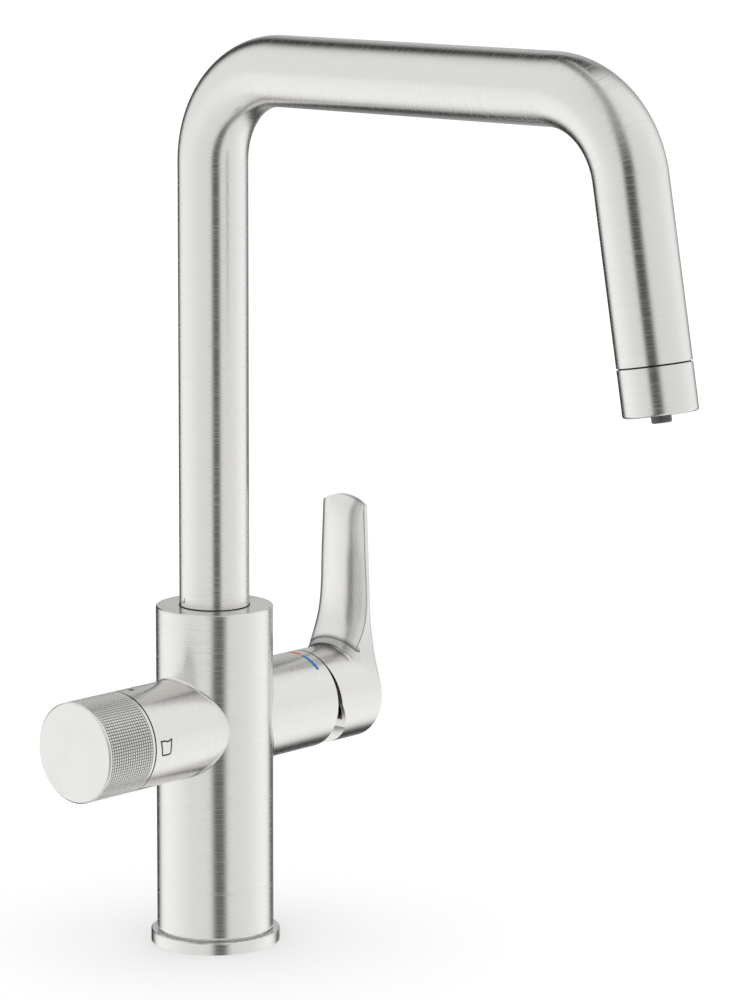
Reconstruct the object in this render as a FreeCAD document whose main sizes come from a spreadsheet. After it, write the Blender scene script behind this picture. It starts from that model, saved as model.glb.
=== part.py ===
# Filtered water kitchen tap: a deck tap with a swivelling square-bend spout, a mixer lever
# on one side and a knurled knob for filtered water on the other.
# Origin on the column axis at the deck, +Z up, spout towards -Y, lever +X, filter knob -X.
import FreeCAD, Part
import Sketcher
import math
import os
import re

V = FreeCAD.Vector
doc = FreeCAD.newDocument("filtered_water_tap")

# Driving dimensions in millimetres and degrees, each written once
SIZES = {
    # Column, side barrels and base
    "body_radius": 23.5,
    "body_rise": 47.2,
    "barrel_inset": 3.5,
    "barrel_height": 90.4,
    "glide_ring_seat": 12.15,
    "cover_height": 6,
    "barrel_blend": 1,
    "foot_step": 3.7,
    "foot_groove_height": 0.6,
    "foot_groove_depth": 1,
    "ring_overhang": 2.5,
    "ring_height": 4.8,
    "ring_ledge": 2.4,
    "gasket_inset": 1.7,
    "ring_wall": 1.5,
    "gasket_depth": 1.4,
    "seat_gap": 0.1,
    "running_gap": 0.05,
    "edge_break": 0.4,
    "overshoot": 1,
    "cut_spare": 5,
    # Sockets under the foot and the drilled water ways
    "inlet_circle": 10.5,
    "mixer_inlet_angle": 45,
    "filter_inlet_angle": 30,
    "stud_angle": 130,
    "inlet_radius": 4.5,
    "inlet_depth": 14,
    "stud_radius": 3.4,
    "stud_depth": 18,
    "way_radius": 2.5,
    "mixer_port_rise": 2.2,
    "mixed_port_drop": 5,
    "mixed_way_reach": 9,
    "way_drop": 4,
    # Spout
    "tube_radius": 14,
    "tube_wall": 1.5,
    "socket_gap": 0.35,
    "socket_depth": 25.6,
    "run_height": 353.3,
    "bend_radius": 37.2,
    "leg_corner": 204.4,
    "leg_lean": 10,
    "leg_length": 98.75,
    "spigot_lift": 1,
    "spigot_bore": 9.5,
    "shank_length": 19,
    "spigot_gap": 0.25,
    "groove_land": 0.8,
    "groove_width": 2.4,
    "glide_depth": 1.4,
    "seal_depth": 2.4,
    "seal_section": 1.1,
    "stop_depth": 2,
    "stop_screw_radius": 2.5,
    "stop_tip_radius": 1,
    "stop_tip_length": 1.6,
    "stop_screw_sink": 1.2,
    "hex_reach": 1.3,
    "hex_depth": 2.5,
    # Filtered water way inside the spout
    "stem_thread_radius": 4,
    "stem_thread_length": 8,
    "stem_flange_radius": 5.5,
    "stem_flange_height": 2.5,
    "stem_rise": 23,
    "stem_bore": 1.8,
    "stem_seal_drop": 4,
    "stem_seal_section": 0.47,
    "stem_gap": 0.08,
    "hose_radius": 5,
    "hose_bore": 3.5,
    "hose_lift": 1.5,
    "hose_past_ledge": 2,
    # Outlet
    "outlet_length": 18.25,
    "outlet_wall": 2.4,
    "ledge_drop": 5.25,
    "outlet_round": 1,
    "neck_length": 12,
    "neck_bore": 9,
    "joint_gap": 0.5,
    "joint_depth": 0.7,
    "neck_seal_rise": 7,
    "neck_seal_section": 0.9,
    "aerator_gasket_height": 1.5,
    "aerator_recess": 0.8,
    "aerator_hub_bore": 5.05,
    "hub_depth": 4,
    "jet_radius": 0.7,
    "jet_ring_step": 2.5,
    "outer_jet_count": 20,
    "inner_jet_circle": 6.8,
    "inner_jet_count": 14,
    "nozzle_radius": 3.75,
    "nozzle_reach": 3,
    "nozzle_bore": 2,
    "nozzle_barb_length": 9,
    # Filter valve, measured outwards from the column axis
    "filter_floor": 15,
    "filter_bore": 13.6,
    "filter_thread_step": 2,
    "port_seal_height": 1.6,
    "disc_height": 3.5,
    "shell_wall": 1,
    "shell_end_wall": 4,
    "disc_gap": 0.05,
    "bridge_width": 5,
    "bridge_depth": 1.5,
    "tongue_width": 4,
    "tongue_length": 18,
    "tongue_depth": 1.4,
    "spindle_plate": 3,
    "spindle_radius": 5,
    "spindle_seal_section": 0.8,
    "thrust_washer_height": 2.4,
    "drive_square": 6,
    "spindle_reach": 5.9,
    "drive_short": 2,
    "nut_height": 8,
    "filter_nut_bore": 7,
    "spanner_hole_radius": 1,
    "spanner_hole_circle": 11,
    "knob_gap": 0.4,
    "knob_length": 25.1,
    "knob_face": 3.2,
    "knob_wall": 2.5,
    "knob_edge": 0.6,
    "knob_boss_radius": 9,
    "boss_depth": 16.75,
    "insert_radius": 6.5,
    "insert_proud": 2,
    "insert_gap": 1.55,
    "glide_ring_bore": 11,
    "glide_ring_reach": 7,
    # Mixer valve, measured outwards from the column axis
    "mixer_floor": 15,
    "mixer_bore": 14.3,
    "mixer_thread_step": 1.9,
    "rotor_length": 9.15,
    "mixer_base_height": 3,
    "mixer_shell_wall": 1.7,
    "moving_disc_gap": 0.33,
    "chamber_radius": 5.7,
    "chamber_depth": 0.7,
    "tail_slot": 5,
    "tail_slot_depth": 2,
    "tail_radius": 1.6,
    "tail_gap": 0.4,
    "tail_shoulder": 1.3,
    "rotor_gap": 0.1,
    "rotor_slot_height": 16,
    "shell_lip": 2,
    "shell_mouth": 9,
    "pivot_rise": 5.25,
    "lever_tilt": 25,
    "pivot_radius": 1.5,
    "pivot_inset": 0.95,
    "lever_pin_radius": 3.1,
    "lever_pin_side_gap": 0.2,
    "lever_shank_radius": 4,
    "shank_inset": 7.4,
    "shank_cover": 4,
    "mixer_nut_bore": 11.5,
    "cover_bore": 13.6,
    # Lever
    "lever_gap": 0.6,
    "lever_depth": 26.4,
    "lever_mouth_radius": 18,
    "lever_mouth_depth": 5.5,
    "lever_cavity_radius": 12,
    "lever_cavity_depth": 9.4,
    "lever_top": 82.2,
    "crown_rise": 3.7,
    "crown_drop": 12,
    "crown_reach": 1,
    "flank_angle": 18.5,
    "flank_radius": 110,
    "blade_taper": 2.45,
    "rim_thickness": 0.7,
    "rim_step": 0.04,
    "face_wall": 1.9,
    "face_round": 1,
    "blade_depth_ratio": 0.28,
    "heel_height": 39,
    "heel_radius": 29.5,
    "heel_pinch": 3.2,
    "saddle_rise": 3.4,
    "saddle_step": 0.35,
    "saddle_round": 3,
    "blade_mid_rise": 14,
    "relief_top": 17,
    "relief_mid": 2,
    "relief_low": 11,
    "relief_deep": 7.2,
    "relief_foot_deep": 9.9,
    "rim_round": 0.5,
    "set_screw_inset": 8,
    "set_screw_radius": 2.5,
    "set_screw_length": 8,
    "plug_length": 3.5,
    "plug_sink": 0.5,
}

# Sizes that follow from the driving dimensions
DERIVED = {
    # Column, side barrels and base
    "barrel_radius": "body_radius - barrel_inset",
    "body_top": "barrel_height + body_rise",
    "foot_radius": "body_radius - foot_step",
    "foot_neck_radius": "body_radius - foot_groove_depth",
    "body_foot": "ring_height + foot_groove_height",
    "ring_radius": "body_radius + ring_overhang",
    "gasket_inner": "foot_radius + gasket_inset",
    "gasket_outer": "ring_radius - ring_wall",
    # Sockets under the foot and the drilled water ways
    "inlet_x": "inlet_circle * cos(mixer_inlet_angle)",
    "inlet_y": "inlet_circle * sin(mixer_inlet_angle)",
    "filter_way_x": "inlet_circle * cos(filter_inlet_angle)",
    "filter_way_y": "inlet_circle * sin(filter_inlet_angle)",
    "filter_way_top": "stem_foot - way_drop",
    # Spout
    "tube_bore": "tube_radius - tube_wall",
    "bend_tangent": "bend_radius * tan((90 - leg_lean) / 2)",
    "socket_radius": "tube_radius + socket_gap",
    "socket_floor": "body_top - socket_depth",
    "spigot_foot": "socket_floor + spigot_lift",
    "spigot_radius": "socket_radius - spigot_gap",
    "tube_foot": "spigot_foot + 5 * groove_land + 4 * groove_width",
    "spout_seal_centre": "socket_radius - running_gap - seal_section",
    "stop_height": "spigot_foot + 2 * groove_land + 1.5 * groove_width",
    # Filtered water way inside the spout
    "stem_foot": "socket_floor - stem_thread_length",
    "stem_top": "socket_floor + stem_rise",
    "stem_radius": "hose_bore - stem_gap",
    "stem_seal_height": "stem_top - stem_seal_drop",
    "stem_seal_centre": "hose_bore - running_gap - stem_seal_section",
    "hose_foot": "socket_floor + stem_flange_height + hose_lift",
    "hose_end": "outlet_ledge + hose_past_ledge",
    # Outlet
    "outlet_end": "leg_length + outlet_length",
    "outlet_ledge": "leg_length + ledge_drop",
    "outlet_bore": "tube_radius - outlet_wall",
    "neck_start": "leg_length - neck_length",
    "neck_radius": "tube_bore - running_gap",
    "neck_seal_place": "neck_start + neck_seal_rise",
    "neck_seal_centre": "tube_bore - running_gap - neck_seal_section",
    "aerator_start": "outlet_ledge + aerator_gasket_height",
    "aerator_radius": "outlet_bore - seat_gap",
    "aerator_floor": "outlet_end - hub_depth",
    "outer_jet_circle": "inner_jet_circle + jet_ring_step",
    "nozzle_end": "outlet_end + nozzle_reach",
    # Filter valve and its knob, measured outwards from the column axis
    "filter_thread": "filter_bore + filter_thread_step",
    "shell_radius": "filter_bore - seat_gap",
    "filter_disc_radius": "shell_radius - shell_wall - seat_gap",
    "fixed_disc_start": "filter_floor + port_seal_height",
    "turning_disc_start": "fixed_disc_start + disc_height + disc_gap",
    "turning_disc_end": "turning_disc_start + disc_height",
    "plate_end": "turning_disc_end + spindle_plate",
    "washer_end": "plate_end + thrust_washer_height",
    "shell_cup_end": "washer_end + disc_gap",
    "filter_step": "shell_cup_end + shell_end_wall",
    "spindle_hole": "spindle_radius + running_gap",
    "spindle_seal_place": "shell_cup_end + shell_end_wall / 2",
    "spindle_seal_centre": "spindle_hole - running_gap / 2 - spindle_seal_section",
    "nut_end": "filter_step + nut_height",
    "filter_barrel_end": "nut_end + glide_ring_seat",
    "drive_start": "nut_end + spindle_reach",
    "drive_end": "insert_end - drive_short",
    "knob_radius": "barrel_radius",
    "knob_bore": "knob_radius - knob_wall",
    "knob_start": "filter_barrel_end + knob_gap",
    "knob_end": "knob_start + knob_length",
    "knob_boss_start": "knob_end - boss_depth",
    "insert_start": "knob_boss_start - insert_proud",
    "insert_end": "knob_end - knob_face - insert_gap",
    # Mixer valve, measured outwards from the column axis
    "mixer_thread": "mixer_bore + mixer_thread_step",
    "mixer_shell_radius": "mixer_bore - seat_gap",
    "mixer_disc_radius": "mixer_shell_radius - mixer_shell_wall - seat_gap",
    "mixer_cup_radius": "mixer_disc_radius + seat_gap",
    "mixer_base_start": "mixer_floor + port_seal_height",
    "mixer_disc_start": "mixer_base_start + mixer_base_height",
    "moving_disc_start": "mixer_disc_start + disc_height + disc_gap",
    "moving_disc_travel": "(pivot_reach - tail_tip) * sin(lever_tilt)",
    "moving_disc_radius": "mixer_cup_radius - moving_disc_travel / 2 - moving_disc_gap",
    "rotor_start": "moving_disc_start + disc_height + rotor_gap",
    "rotor_end": "rotor_start + rotor_length",
    "mixer_step": "rotor_end + rotor_gap + shell_lip",
    "mixer_nut_end": "mixer_step + nut_height",
    "mixer_barrel_end": "mixer_nut_end + cover_height",
    "pivot_reach": "rotor_start + pivot_rise",
    "pivot_length": "2 * (mixer_cup_radius - running_gap - pivot_inset)",
    "tail_tip": "moving_disc_start + disc_height - tail_slot_depth + tail_gap",
    "tail_root": "rotor_start + tail_shoulder",
    "lever_shank_start": "lever_start + shank_inset",
    "lever_shank_end": "lever_end - shank_cover",
    # Lever
    "lever_radius": "barrel_radius",
    "lever_start": "mixer_barrel_end + lever_gap",
    "lever_end": "lever_start + lever_depth",
    "lever_cavity_end": "lever_start + lever_cavity_depth",
    "screw_socket": "lever_shank_radius + running_gap",
    "set_screw_reach": "lever_end - set_screw_inset",
    "rim_start": "lever_end - rim_thickness",
    "blade_root": "lever_end - rim_thickness / 2",
    "flank_y": "(lever_radius + flank_radius) * cos(flank_angle)",
    "flank_z": "(lever_radius + flank_radius) * sin(flank_angle)",
    "flank_end_y": "flank_y - flank_radius * cos(blade_taper)",
    "flank_end_z": "flank_z - flank_radius * sin(blade_taper)",
    "crown_start": "lever_top - crown_rise",
    "crown_half": "flank_end_y - (crown_start - flank_end_z) * tan(blade_taper)",
    "crown_radius": "(crown_half ^ 2 + crown_rise ^ 2) / (2 * crown_rise)",
    "relief_foot": "lever_radius + cut_spare",
    "saddle_radius": "lever_radius + saddle_rise",
}

WORD = re.compile(r"[a-z]\w*")


def fill_sheet():
    table = doc.addObject("Spreadsheet::Sheet", "dims")
    for row, (name, size) in enumerate(SIZES.items(), start=1):
        table.set("A%d" % row, name)
        table.set("B%d" % row, str(size))
        table.setAlias("B%d" % row, name)
    doc.recompute()
    return table


sheet = fill_sheet()


# Turns named sizes into references to the sheet
def bind(text):
    def refer(match):
        word = match.group()
        if word in SIZES:
            return "dims." + word
        if word in DERIVED:
            return "(" + bind(DERIVED[word]) + ")"
        return word
    return WORD.sub(refer, text)


def value(text):
    return float(sheet.evalExpression(bind(text)))


# Local frames: z runs out of the column along each valve, or down along the outlet leg
FRAMES = {
    "column": (FreeCAD.Rotation(), ("0", "0", "0")),
    "filter": (FreeCAD.Rotation(V(0, 1, 0), -90), ("0", "0", "barrel_height")),
    "mixer": (FreeCAD.Rotation(V(1, 0, 1), 180), ("0", "0", "barrel_height")),
    "outlet": (FreeCAD.Rotation(V(1, 0, 0), 180 - SIZES["leg_lean"]), ("0", "-leg_corner", "run_height")),
    "lever": (FreeCAD.Rotation(), ("0", "0", "barrel_height")),
}


def place(item, rotation, spot):
    item.Placement = FreeCAD.Placement(V(), rotation)
    for axis, text in zip("xyz", spot):
        item.setExpression("Placement.Base." + axis, bind(text))


def put_in_frame(item, frame):
    rotation, spot = FRAMES[frame]
    place(item, rotation, spot)
    if frame == "outlet":
        item.setExpression("Placement.Rotation.Angle", bind("180 - leg_lean"))


def new_body(label, frame):
    body = doc.addObject("PartDesign::Body", label)
    body.Label = label
    put_in_frame(body, frame)
    return body


def sketch_on(body, role, lift="0"):
    planes = [feature for feature in body.Origin.OriginFeatures if feature.Role == role]
    sketch = body.newObject("Sketcher::SketchObject", body.Label + "_sketch")
    sketch.AttachmentSupport = [(planes[0], "")]
    sketch.MapMode = "FlatFace"
    sketch.setExpression("AttachmentOffset.Base.z", bind(lift))
    return sketch


def hold(sketch, constraint, text):
    index = sketch.addConstraint(constraint)
    sketch.setExpression("Constraints[%d]" % index, bind(text))


def hold_point(sketch, edge, end, spot):
    for kind, text in zip(("DistanceX", "DistanceY"), spot):
        hold(sketch, Sketcher.Constraint(kind, -1, 1, edge, end, value(text)), text)


def point(spot):
    return V(value(spot[0]), value(spot[1]), 0)


def line(sketch, start, end):
    edge = sketch.addGeometry(Part.LineSegment(point(start), point(end)), False)
    hold_point(sketch, edge, 1, start)
    hold_point(sketch, edge, 2, end)


def polygon(sketch, corners):
    first = sketch.GeometryCount
    count = len(corners)
    for here, after in zip(corners, corners[1:] + corners[:1]):
        sketch.addGeometry(Part.LineSegment(point(here), point(after)), False)
    for index, corner in enumerate(corners):
        after = first + (index + 1) % count
        sketch.addConstraint(Sketcher.Constraint("Coincident", first + index, 2, after, 1))
        hold_point(sketch, first + index, 1, corner)


def rectangle(sketch, width, height, centre=("0", "0")):
    sides = [("-", "-"), ("+", "-"), ("+", "+"), ("-", "+")]
    half = "%s %s (%s) / 2"
    x, y = centre
    polygon(sketch, [(half % (x, a, width), half % (y, b, height)) for a, b in sides])


def circle(sketch, centre, radius):
    round_line = Part.Circle(point(centre), V(0, 0, 1), value(radius))
    edge = sketch.addGeometry(round_line, False)
    hold_point(sketch, edge, 3, centre)
    hold(sketch, Sketcher.Constraint("Radius", edge, value(radius)), radius)


# Anticlockwise arc from start to end; half turns and more are told by the angles
def arc(sketch, centre, radius, from_angle, to_angle, start, end):
    full = Part.Circle(point(centre), V(0, 0, 1), value(radius))
    angles = [math.radians(value(text)) for text in (from_angle, to_angle)]
    edge = sketch.addGeometry(Part.ArcOfCircle(full, *angles), False)
    hold_point(sketch, edge, 1, start)
    hold_point(sketch, edge, 2, end)
    hold(sketch, Sketcher.Constraint("Radius", edge, value(radius)), radius)


def revolve(body, corners):
    sketch = sketch_on(body, "XZ_Plane")
    polygon(sketch, corners)
    feature = body.newObject("PartDesign::Revolution", body.Label + "_turning")
    feature.Profile = sketch
    feature.ReferenceAxis = (sketch, ["V_Axis"])
    feature.Angle = 360


# A turned piece: its half section as radius and height along the local axis
def turned(label, frame, corners):
    body = new_body(label, frame)
    revolve(body, corners)
    return body


def washer(label, frame, outer, inner, start, end):
    return turned(label, frame, [(inner, start), (outer, start), (outer, end), (inner, end)])


def o_ring(label, frame, centre, section, height):
    ring = doc.addObject("Part::Torus", label)
    ring.Label = label
    ring.setExpression("Radius1", bind(centre))
    ring.setExpression("Radius2", bind(section))
    rotation, spot = FRAMES[frame]
    place(ring, rotation, spot)
    if frame == "filter":
        ring.setExpression("Placement.Base.x", bind("-(%s)" % height))
    elif frame == "outlet":
        ring.setExpression("Placement.Rotation.Angle", bind("180 - leg_lean"))
        ring.setExpression("Placement.Base.y", bind("-leg_corner - (%s) * sin(leg_lean)" % height))
        ring.setExpression("Placement.Base.z", bind("run_height - (%s) * cos(leg_lean)" % height))
    else:
        ring.setExpression("Placement.Base.z", bind(height))
    return ring


def pad(body, sketch, length, backwards=False):
    feature = body.newObject("PartDesign::Pad", body.Label + "_pad")
    feature.Profile = sketch
    feature.setExpression("Length", bind(length))
    feature.Reversed = backwards
    return feature


# Cuts along the sketch's normal for a depth, or right through both ways without one
def pocket(body, sketch, depth=None):
    doc.recompute()
    before = body.Shape.Volume
    feature = body.newObject("PartDesign::Pocket", body.Label + "_pocket")
    feature.Profile = sketch
    if depth is None:
        feature.Type = "ThroughAll"
        feature.Midplane = True
    else:
        feature.Reversed = True
        feature.setExpression("Length", bind(depth))
    doc.recompute()
    if not body.Shape.Volume < before:
        raise RuntimeError(body.Label + ": a pocket cuts nothing")
    return feature


def holes(body, spots, radius):
    sketch = sketch_on(body, "XY_Plane")
    for spot in spots:
        circle(sketch, spot, radius)
    pocket(body, sketch)


def ring_of_holes(body, circle_radius, radius, count):
    doc.recompute()
    before = body.Shape.Volume
    sketch = sketch_on(body, "XY_Plane")
    circle(sketch, (circle_radius, "0"), radius)
    hole = pocket(body, sketch)
    pattern = body.newObject("PartDesign::PolarPattern", body.Label + "_pattern")
    pattern.Originals = [hole]
    axes = [feature for feature in body.Origin.OriginFeatures if feature.Role == "Z_Axis"]
    pattern.Axis = (axes[0], [""])
    pattern.Angle = 360
    pattern.setExpression("Occurrences", bind(count))
    body.Tip = pattern
    doc.recompute()
    if not body.Shape.Volume < before:
        raise RuntimeError(body.Label + ": the ring of holes is missing")


def round_edges(body, radius, chosen):
    doc.recompute()
    base = body.Tip
    names = []
    for index, edge in enumerate(base.Shape.Edges, start=1):
        if chosen(edge):
            names.append("Edge%d" % index)
    feature = body.newObject("PartDesign::Fillet", body.Label + "_round")
    feature.Base = (base, names)
    feature.setExpression("Radius", bind(radius))


# Hexagon socket for a key, cut into the end of a screw
def key_socket(body, lift):
    sketch = sketch_on(body, "XY_Plane", lift + " - hex_depth")
    corner = ("hex_reach * cos(%d)", "hex_reach * sin(%d)")
    polygon(sketch, [(corner[0] % angle, corner[1] % angle) for angle in range(0, 360, 60)])
    pocket(body, sketch, "hex_depth + overshoot")


def cylinder(label, radius, length, rotation, spot):
    rod = doc.addObject("Part::Cylinder", label)
    rod.setExpression("Radius", bind(radius))
    rod.setExpression("Height", bind(length))
    place(rod, rotation, spot)
    return rod


# Edges are told apart to this distance
NEAR = 0.01

UP = FreeCAD.Rotation()
ALONG_X = FreeCAD.Rotation(V(0, 1, 0), 90)
AGAINST_X = FreeCAD.Rotation(V(0, 1, 0), -90)
ALONG_Y = FreeCAD.Rotation(V(1, 0, 0), -90)


# Body casting: the column and both side barrels in one piece, bored and drilled
def make_body_casting():
    body = new_body("body_blank", "column")
    revolve(body, [
        ("0", "0"),
        ("foot_radius", "0"),
        ("foot_radius", "ring_ledge"),
        ("foot_neck_radius", "ring_ledge"),
        ("foot_neck_radius", "body_foot"),
        ("body_radius - edge_break", "body_foot"),
        ("body_radius", "body_foot + edge_break"),
        ("body_radius", "body_top - edge_break"),
        ("body_radius - edge_break", "body_top"),
        ("0", "body_top"),
    ])
    sketch = sketch_on(body, "YZ_Plane", "-filter_barrel_end")
    circle(sketch, ("0", "barrel_height"), "barrel_radius")
    pad(body, sketch, "filter_barrel_end + mixer_barrel_end")
    round_edges(body, "barrel_blend", lambda edge: edge.Curve.TypeId == "Part::GeomBSplineCurve")

    drillings = []

    def drill(radius, length, rotation, spot):
        drillings.append(cylinder("drilling", radius, length, rotation, spot))

    drill("socket_radius", "body_top - socket_floor + overshoot", UP, ("0", "0", "socket_floor"))
    drill("filter_bore", "filter_barrel_end - filter_floor + overshoot", AGAINST_X,
          ("-filter_floor", "0", "barrel_height"))
    drill("filter_thread", "filter_barrel_end - filter_step + overshoot", AGAINST_X,
          ("-(filter_step)", "0", "barrel_height"))
    drill("mixer_bore", "mixer_barrel_end - mixer_floor + overshoot", ALONG_X,
          ("mixer_floor", "0", "barrel_height"))
    drill("mixer_thread", "mixer_barrel_end - mixer_step + overshoot", ALONG_X,
          ("mixer_step", "0", "barrel_height"))
    drill("stop_screw_radius", "body_radius", ALONG_Y, ("0", "socket_radius / 2", "stop_height"))
    # Threaded sockets under the foot
    drill("stud_radius", "stud_depth + overshoot", UP,
          ("inlet_circle * cos(stud_angle)", "inlet_circle * sin(stud_angle)", "-overshoot"))
    for side in ("", "-"):
        spot = ("inlet_x", side + "(inlet_y)")
        drill("inlet_radius", "inlet_depth + overshoot", UP, spot + ("-overshoot",))
        drill("way_radius", "barrel_height + mixer_port_rise", UP, spot + ("0",))
        drill("way_radius", "mixer_floor - inlet_x + overshoot", ALONG_X,
              spot + ("barrel_height + mixer_port_rise",))
    # Mixed water leaves below and rises into the spout socket
    drill("way_radius", "mixer_floor - mixed_way_reach + overshoot", ALONG_X,
          ("mixed_way_reach", "0", "barrel_height - mixed_port_drop"))
    drill("way_radius", "socket_floor - barrel_height + mixed_port_drop + overshoot", UP,
          ("mixed_way_reach", "0", "barrel_height - mixed_port_drop"))
    # Filtered water goes in through one port and out through the other to the stem
    drill("inlet_radius", "inlet_depth + overshoot", UP, ("-(filter_way_x)", "-(filter_way_y)", "-overshoot"))
    drill("way_radius", "barrel_height", UP, ("-(filter_way_x)", "-(filter_way_y)", "0"))
    for side in ("", "-"):
        drill("way_radius", "filter_floor - filter_way_x + overshoot", AGAINST_X,
              ("-(filter_way_x)", side + "(filter_way_y)", "barrel_height"))
    drill("way_radius", "filter_way_top - barrel_height", UP,
          ("-(filter_way_x)", "filter_way_y", "barrel_height"))
    to_filter_way = FreeCAD.Rotation(90 - value("filter_inlet_angle"), 0, -90)
    drill("way_radius", "inlet_circle", to_filter_way, ("0", "0", "filter_way_top"))
    drill("way_radius", "socket_floor - filter_way_top", UP, ("0", "0", "filter_way_top"))
    drill("stem_thread_radius", "stem_thread_length + overshoot", UP, ("0", "0", "stem_foot"))

    bored = doc.addObject("Part::MultiFuse", "drillings")
    bored.Shapes = drillings
    casting = doc.addObject("Part::Cut", "body_casting")
    casting.Base = body
    casting.Tool = bored
    casting.Label = "body_casting"
    return casting


# Base ring round the foot, with a groove below for the deck gasket
def make_base_ring():
    return turned("base_ring", "column", [
        ("foot_radius + seat_gap", "0"),
        ("gasket_inner", "0"),
        ("gasket_inner", "gasket_depth"),
        ("gasket_outer", "gasket_depth"),
        ("gasket_outer", "0"),
        ("ring_radius", "0"),
        ("ring_radius", "ring_height - edge_break"),
        ("ring_radius - edge_break", "ring_height"),
        ("foot_neck_radius + seat_gap", "ring_height"),
        ("foot_neck_radius + seat_gap", "ring_ledge"),
        ("foot_radius + seat_gap", "ring_ledge"),
    ])


def make_base_gasket():
    return washer("base_gasket", "column", "gasket_outer", "gasket_inner", "0", "gasket_depth")


# A pipe along the spout's centre line, from a height in the column to a length down the leg
def spout_pipe(label, outer, inner, foot, end):
    body = new_body(label, "column")
    section = sketch_on(body, "XY_Plane", foot)
    circle(section, ("0", "0"), outer)
    circle(section, ("0", "0"), inner)
    path = sketch_on(body, "YZ_Plane")
    column_foot = ("0", foot)
    column_top = ("0", "run_height - bend_radius")
    run_start = ("-bend_radius", "run_height")
    run_end = ("bend_tangent - leg_corner", "run_height")
    leg_start = ("-leg_corner - bend_tangent * sin(leg_lean)", "run_height - bend_tangent * cos(leg_lean)")
    leg_end = ("-leg_corner - (%s) * sin(leg_lean)" % end, "run_height - (%s) * cos(leg_lean)" % end)
    line(path, column_foot, column_top)
    arc(path, ("-bend_radius", "run_height - bend_radius"), "bend_radius", "0", "90", column_top, run_start)
    line(path, run_start, run_end)
    arc(path, ("bend_tangent - leg_corner", "run_height - bend_radius"), "bend_radius",
        "90", "180 - leg_lean", run_end, leg_start)
    line(path, leg_start, leg_end)
    pipe = body.newObject("PartDesign::AdditivePipe", label + "_pipe")
    pipe.Profile = section
    pipe.Spine = path
    return body


def make_spout_tube():
    return spout_pipe("spout_tube", "tube_radius", "tube_bore", "tube_foot", "leg_length")


def make_filtered_water_hose():
    return spout_pipe("filtered_water_hose", "hose_radius", "hose_bore", "hose_foot", "hose_end")


# Height of a groove on the spigot, counted up from its foot
def groove_start(index):
    return "spigot_foot + %d * groove_land + %d * groove_width" % (index + 1, index)


# Brass end piece in the foot of the spout tube, with grooves for glide rings, stop screw and seal
def make_spout_spigot():
    corners = [("spigot_bore", "spigot_foot"), ("spigot_radius", "spigot_foot")]
    for index, depth in enumerate(("glide_depth", "stop_depth", "seal_depth", "glide_depth")):
        low = groove_start(index)
        high = low + " + groove_width"
        floor = "socket_radius - " + depth
        corners += [("spigot_radius", low), (floor, low), (floor, high), ("spigot_radius", high)]
    corners += [
        ("spigot_radius", "tube_foot"),
        ("tube_bore", "tube_foot"),
        ("tube_bore", "tube_foot + shank_length"),
        ("spigot_bore", "tube_foot + shank_length"),
    ]
    return turned("spout_spigot", "column", corners)


def glide_ring(label, index):
    low = groove_start(index)
    return washer(label, "column", "socket_radius - running_gap", "socket_radius - glide_depth",
                  low, low + " + groove_width")


def make_spout_seal():
    return o_ring("spout_o_ring", "column", "spout_seal_centre", "seal_section",
                  groove_start(2) + " + groove_width / 2")


# Grub screw in the back of the column: its tip runs in the spigot's groove
def make_stop_screw():
    screw = turned("spout_stop_screw", "column", [
        ("0", "socket_radius - stop_tip_length"),
        ("stop_tip_radius", "socket_radius - stop_tip_length"),
        ("stop_tip_radius", "socket_radius + edge_break"),
        ("stop_screw_radius", "socket_radius + stop_tip_radius"),
        ("stop_screw_radius", "body_radius - stop_screw_sink"),
        ("0", "body_radius - stop_screw_sink"),
    ])
    key_socket(screw, "body_radius - stop_screw_sink")
    place(screw, ALONG_Y, ("0", "0", "stop_height"))
    return screw


# Brass stem in the floor of the socket, on which the filtered water hose turns
def make_filter_stem():
    groove_low = "stem_seal_height - stem_seal_section - running_gap"
    groove_high = "stem_seal_height + stem_seal_section + running_gap"
    groove_floor = "stem_seal_centre - stem_seal_section"
    return turned("filter_stem", "column", [
        ("stem_bore", "stem_foot"),
        ("stem_thread_radius", "stem_foot"),
        ("stem_thread_radius", "socket_floor"),
        ("stem_flange_radius", "socket_floor"),
        ("stem_flange_radius", "socket_floor + stem_flange_height"),
        ("stem_radius", "socket_floor + stem_flange_height"),
        ("stem_radius", groove_low),
        (groove_floor, groove_low),
        (groove_floor, groove_high),
        ("stem_radius", groove_high),
        ("stem_radius", "stem_top"),
        ("stem_bore", "stem_top"),
    ])


def make_stem_seal():
    return o_ring("stem_o_ring", "column", "stem_seal_centre", "stem_seal_section", "stem_seal_height")


# Outlet housing: a neck in the tube's end, a fine joint groove and a bored cup below
def make_outlet_housing():
    seal_low = "neck_seal_place - neck_seal_section - running_gap"
    seal_high = "neck_seal_place + neck_seal_section + running_gap"
    seal_floor = "neck_seal_centre - neck_seal_section"
    housing = turned("outlet_housing", "outlet", [
        ("neck_bore", "neck_start"),
        ("neck_radius", "neck_start"),
        ("neck_radius", seal_low),
        (seal_floor, seal_low),
        (seal_floor, seal_high),
        ("neck_radius", seal_high),
        ("neck_radius", "leg_length"),
        ("tube_radius - joint_depth", "leg_length"),
        ("tube_radius - joint_depth", "leg_length + joint_gap"),
        ("tube_radius", "leg_length + joint_gap"),
        ("tube_radius", "outlet_end"),
        ("outlet_bore", "outlet_end"),
        ("outlet_bore", "outlet_ledge"),
        ("neck_bore", "outlet_ledge"),
    ])
    radius = value("tube_radius")
    end = value("outlet_end")

    def outer_rim(edge):
        box = edge.BoundBox
        at_end = abs(box.ZMin - end) < NEAR and abs(box.ZMax - end) < NEAR
        return at_end and abs(box.XMax - radius) < NEAR

    round_edges(housing, "outlet_round", outer_rim)
    return housing


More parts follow.
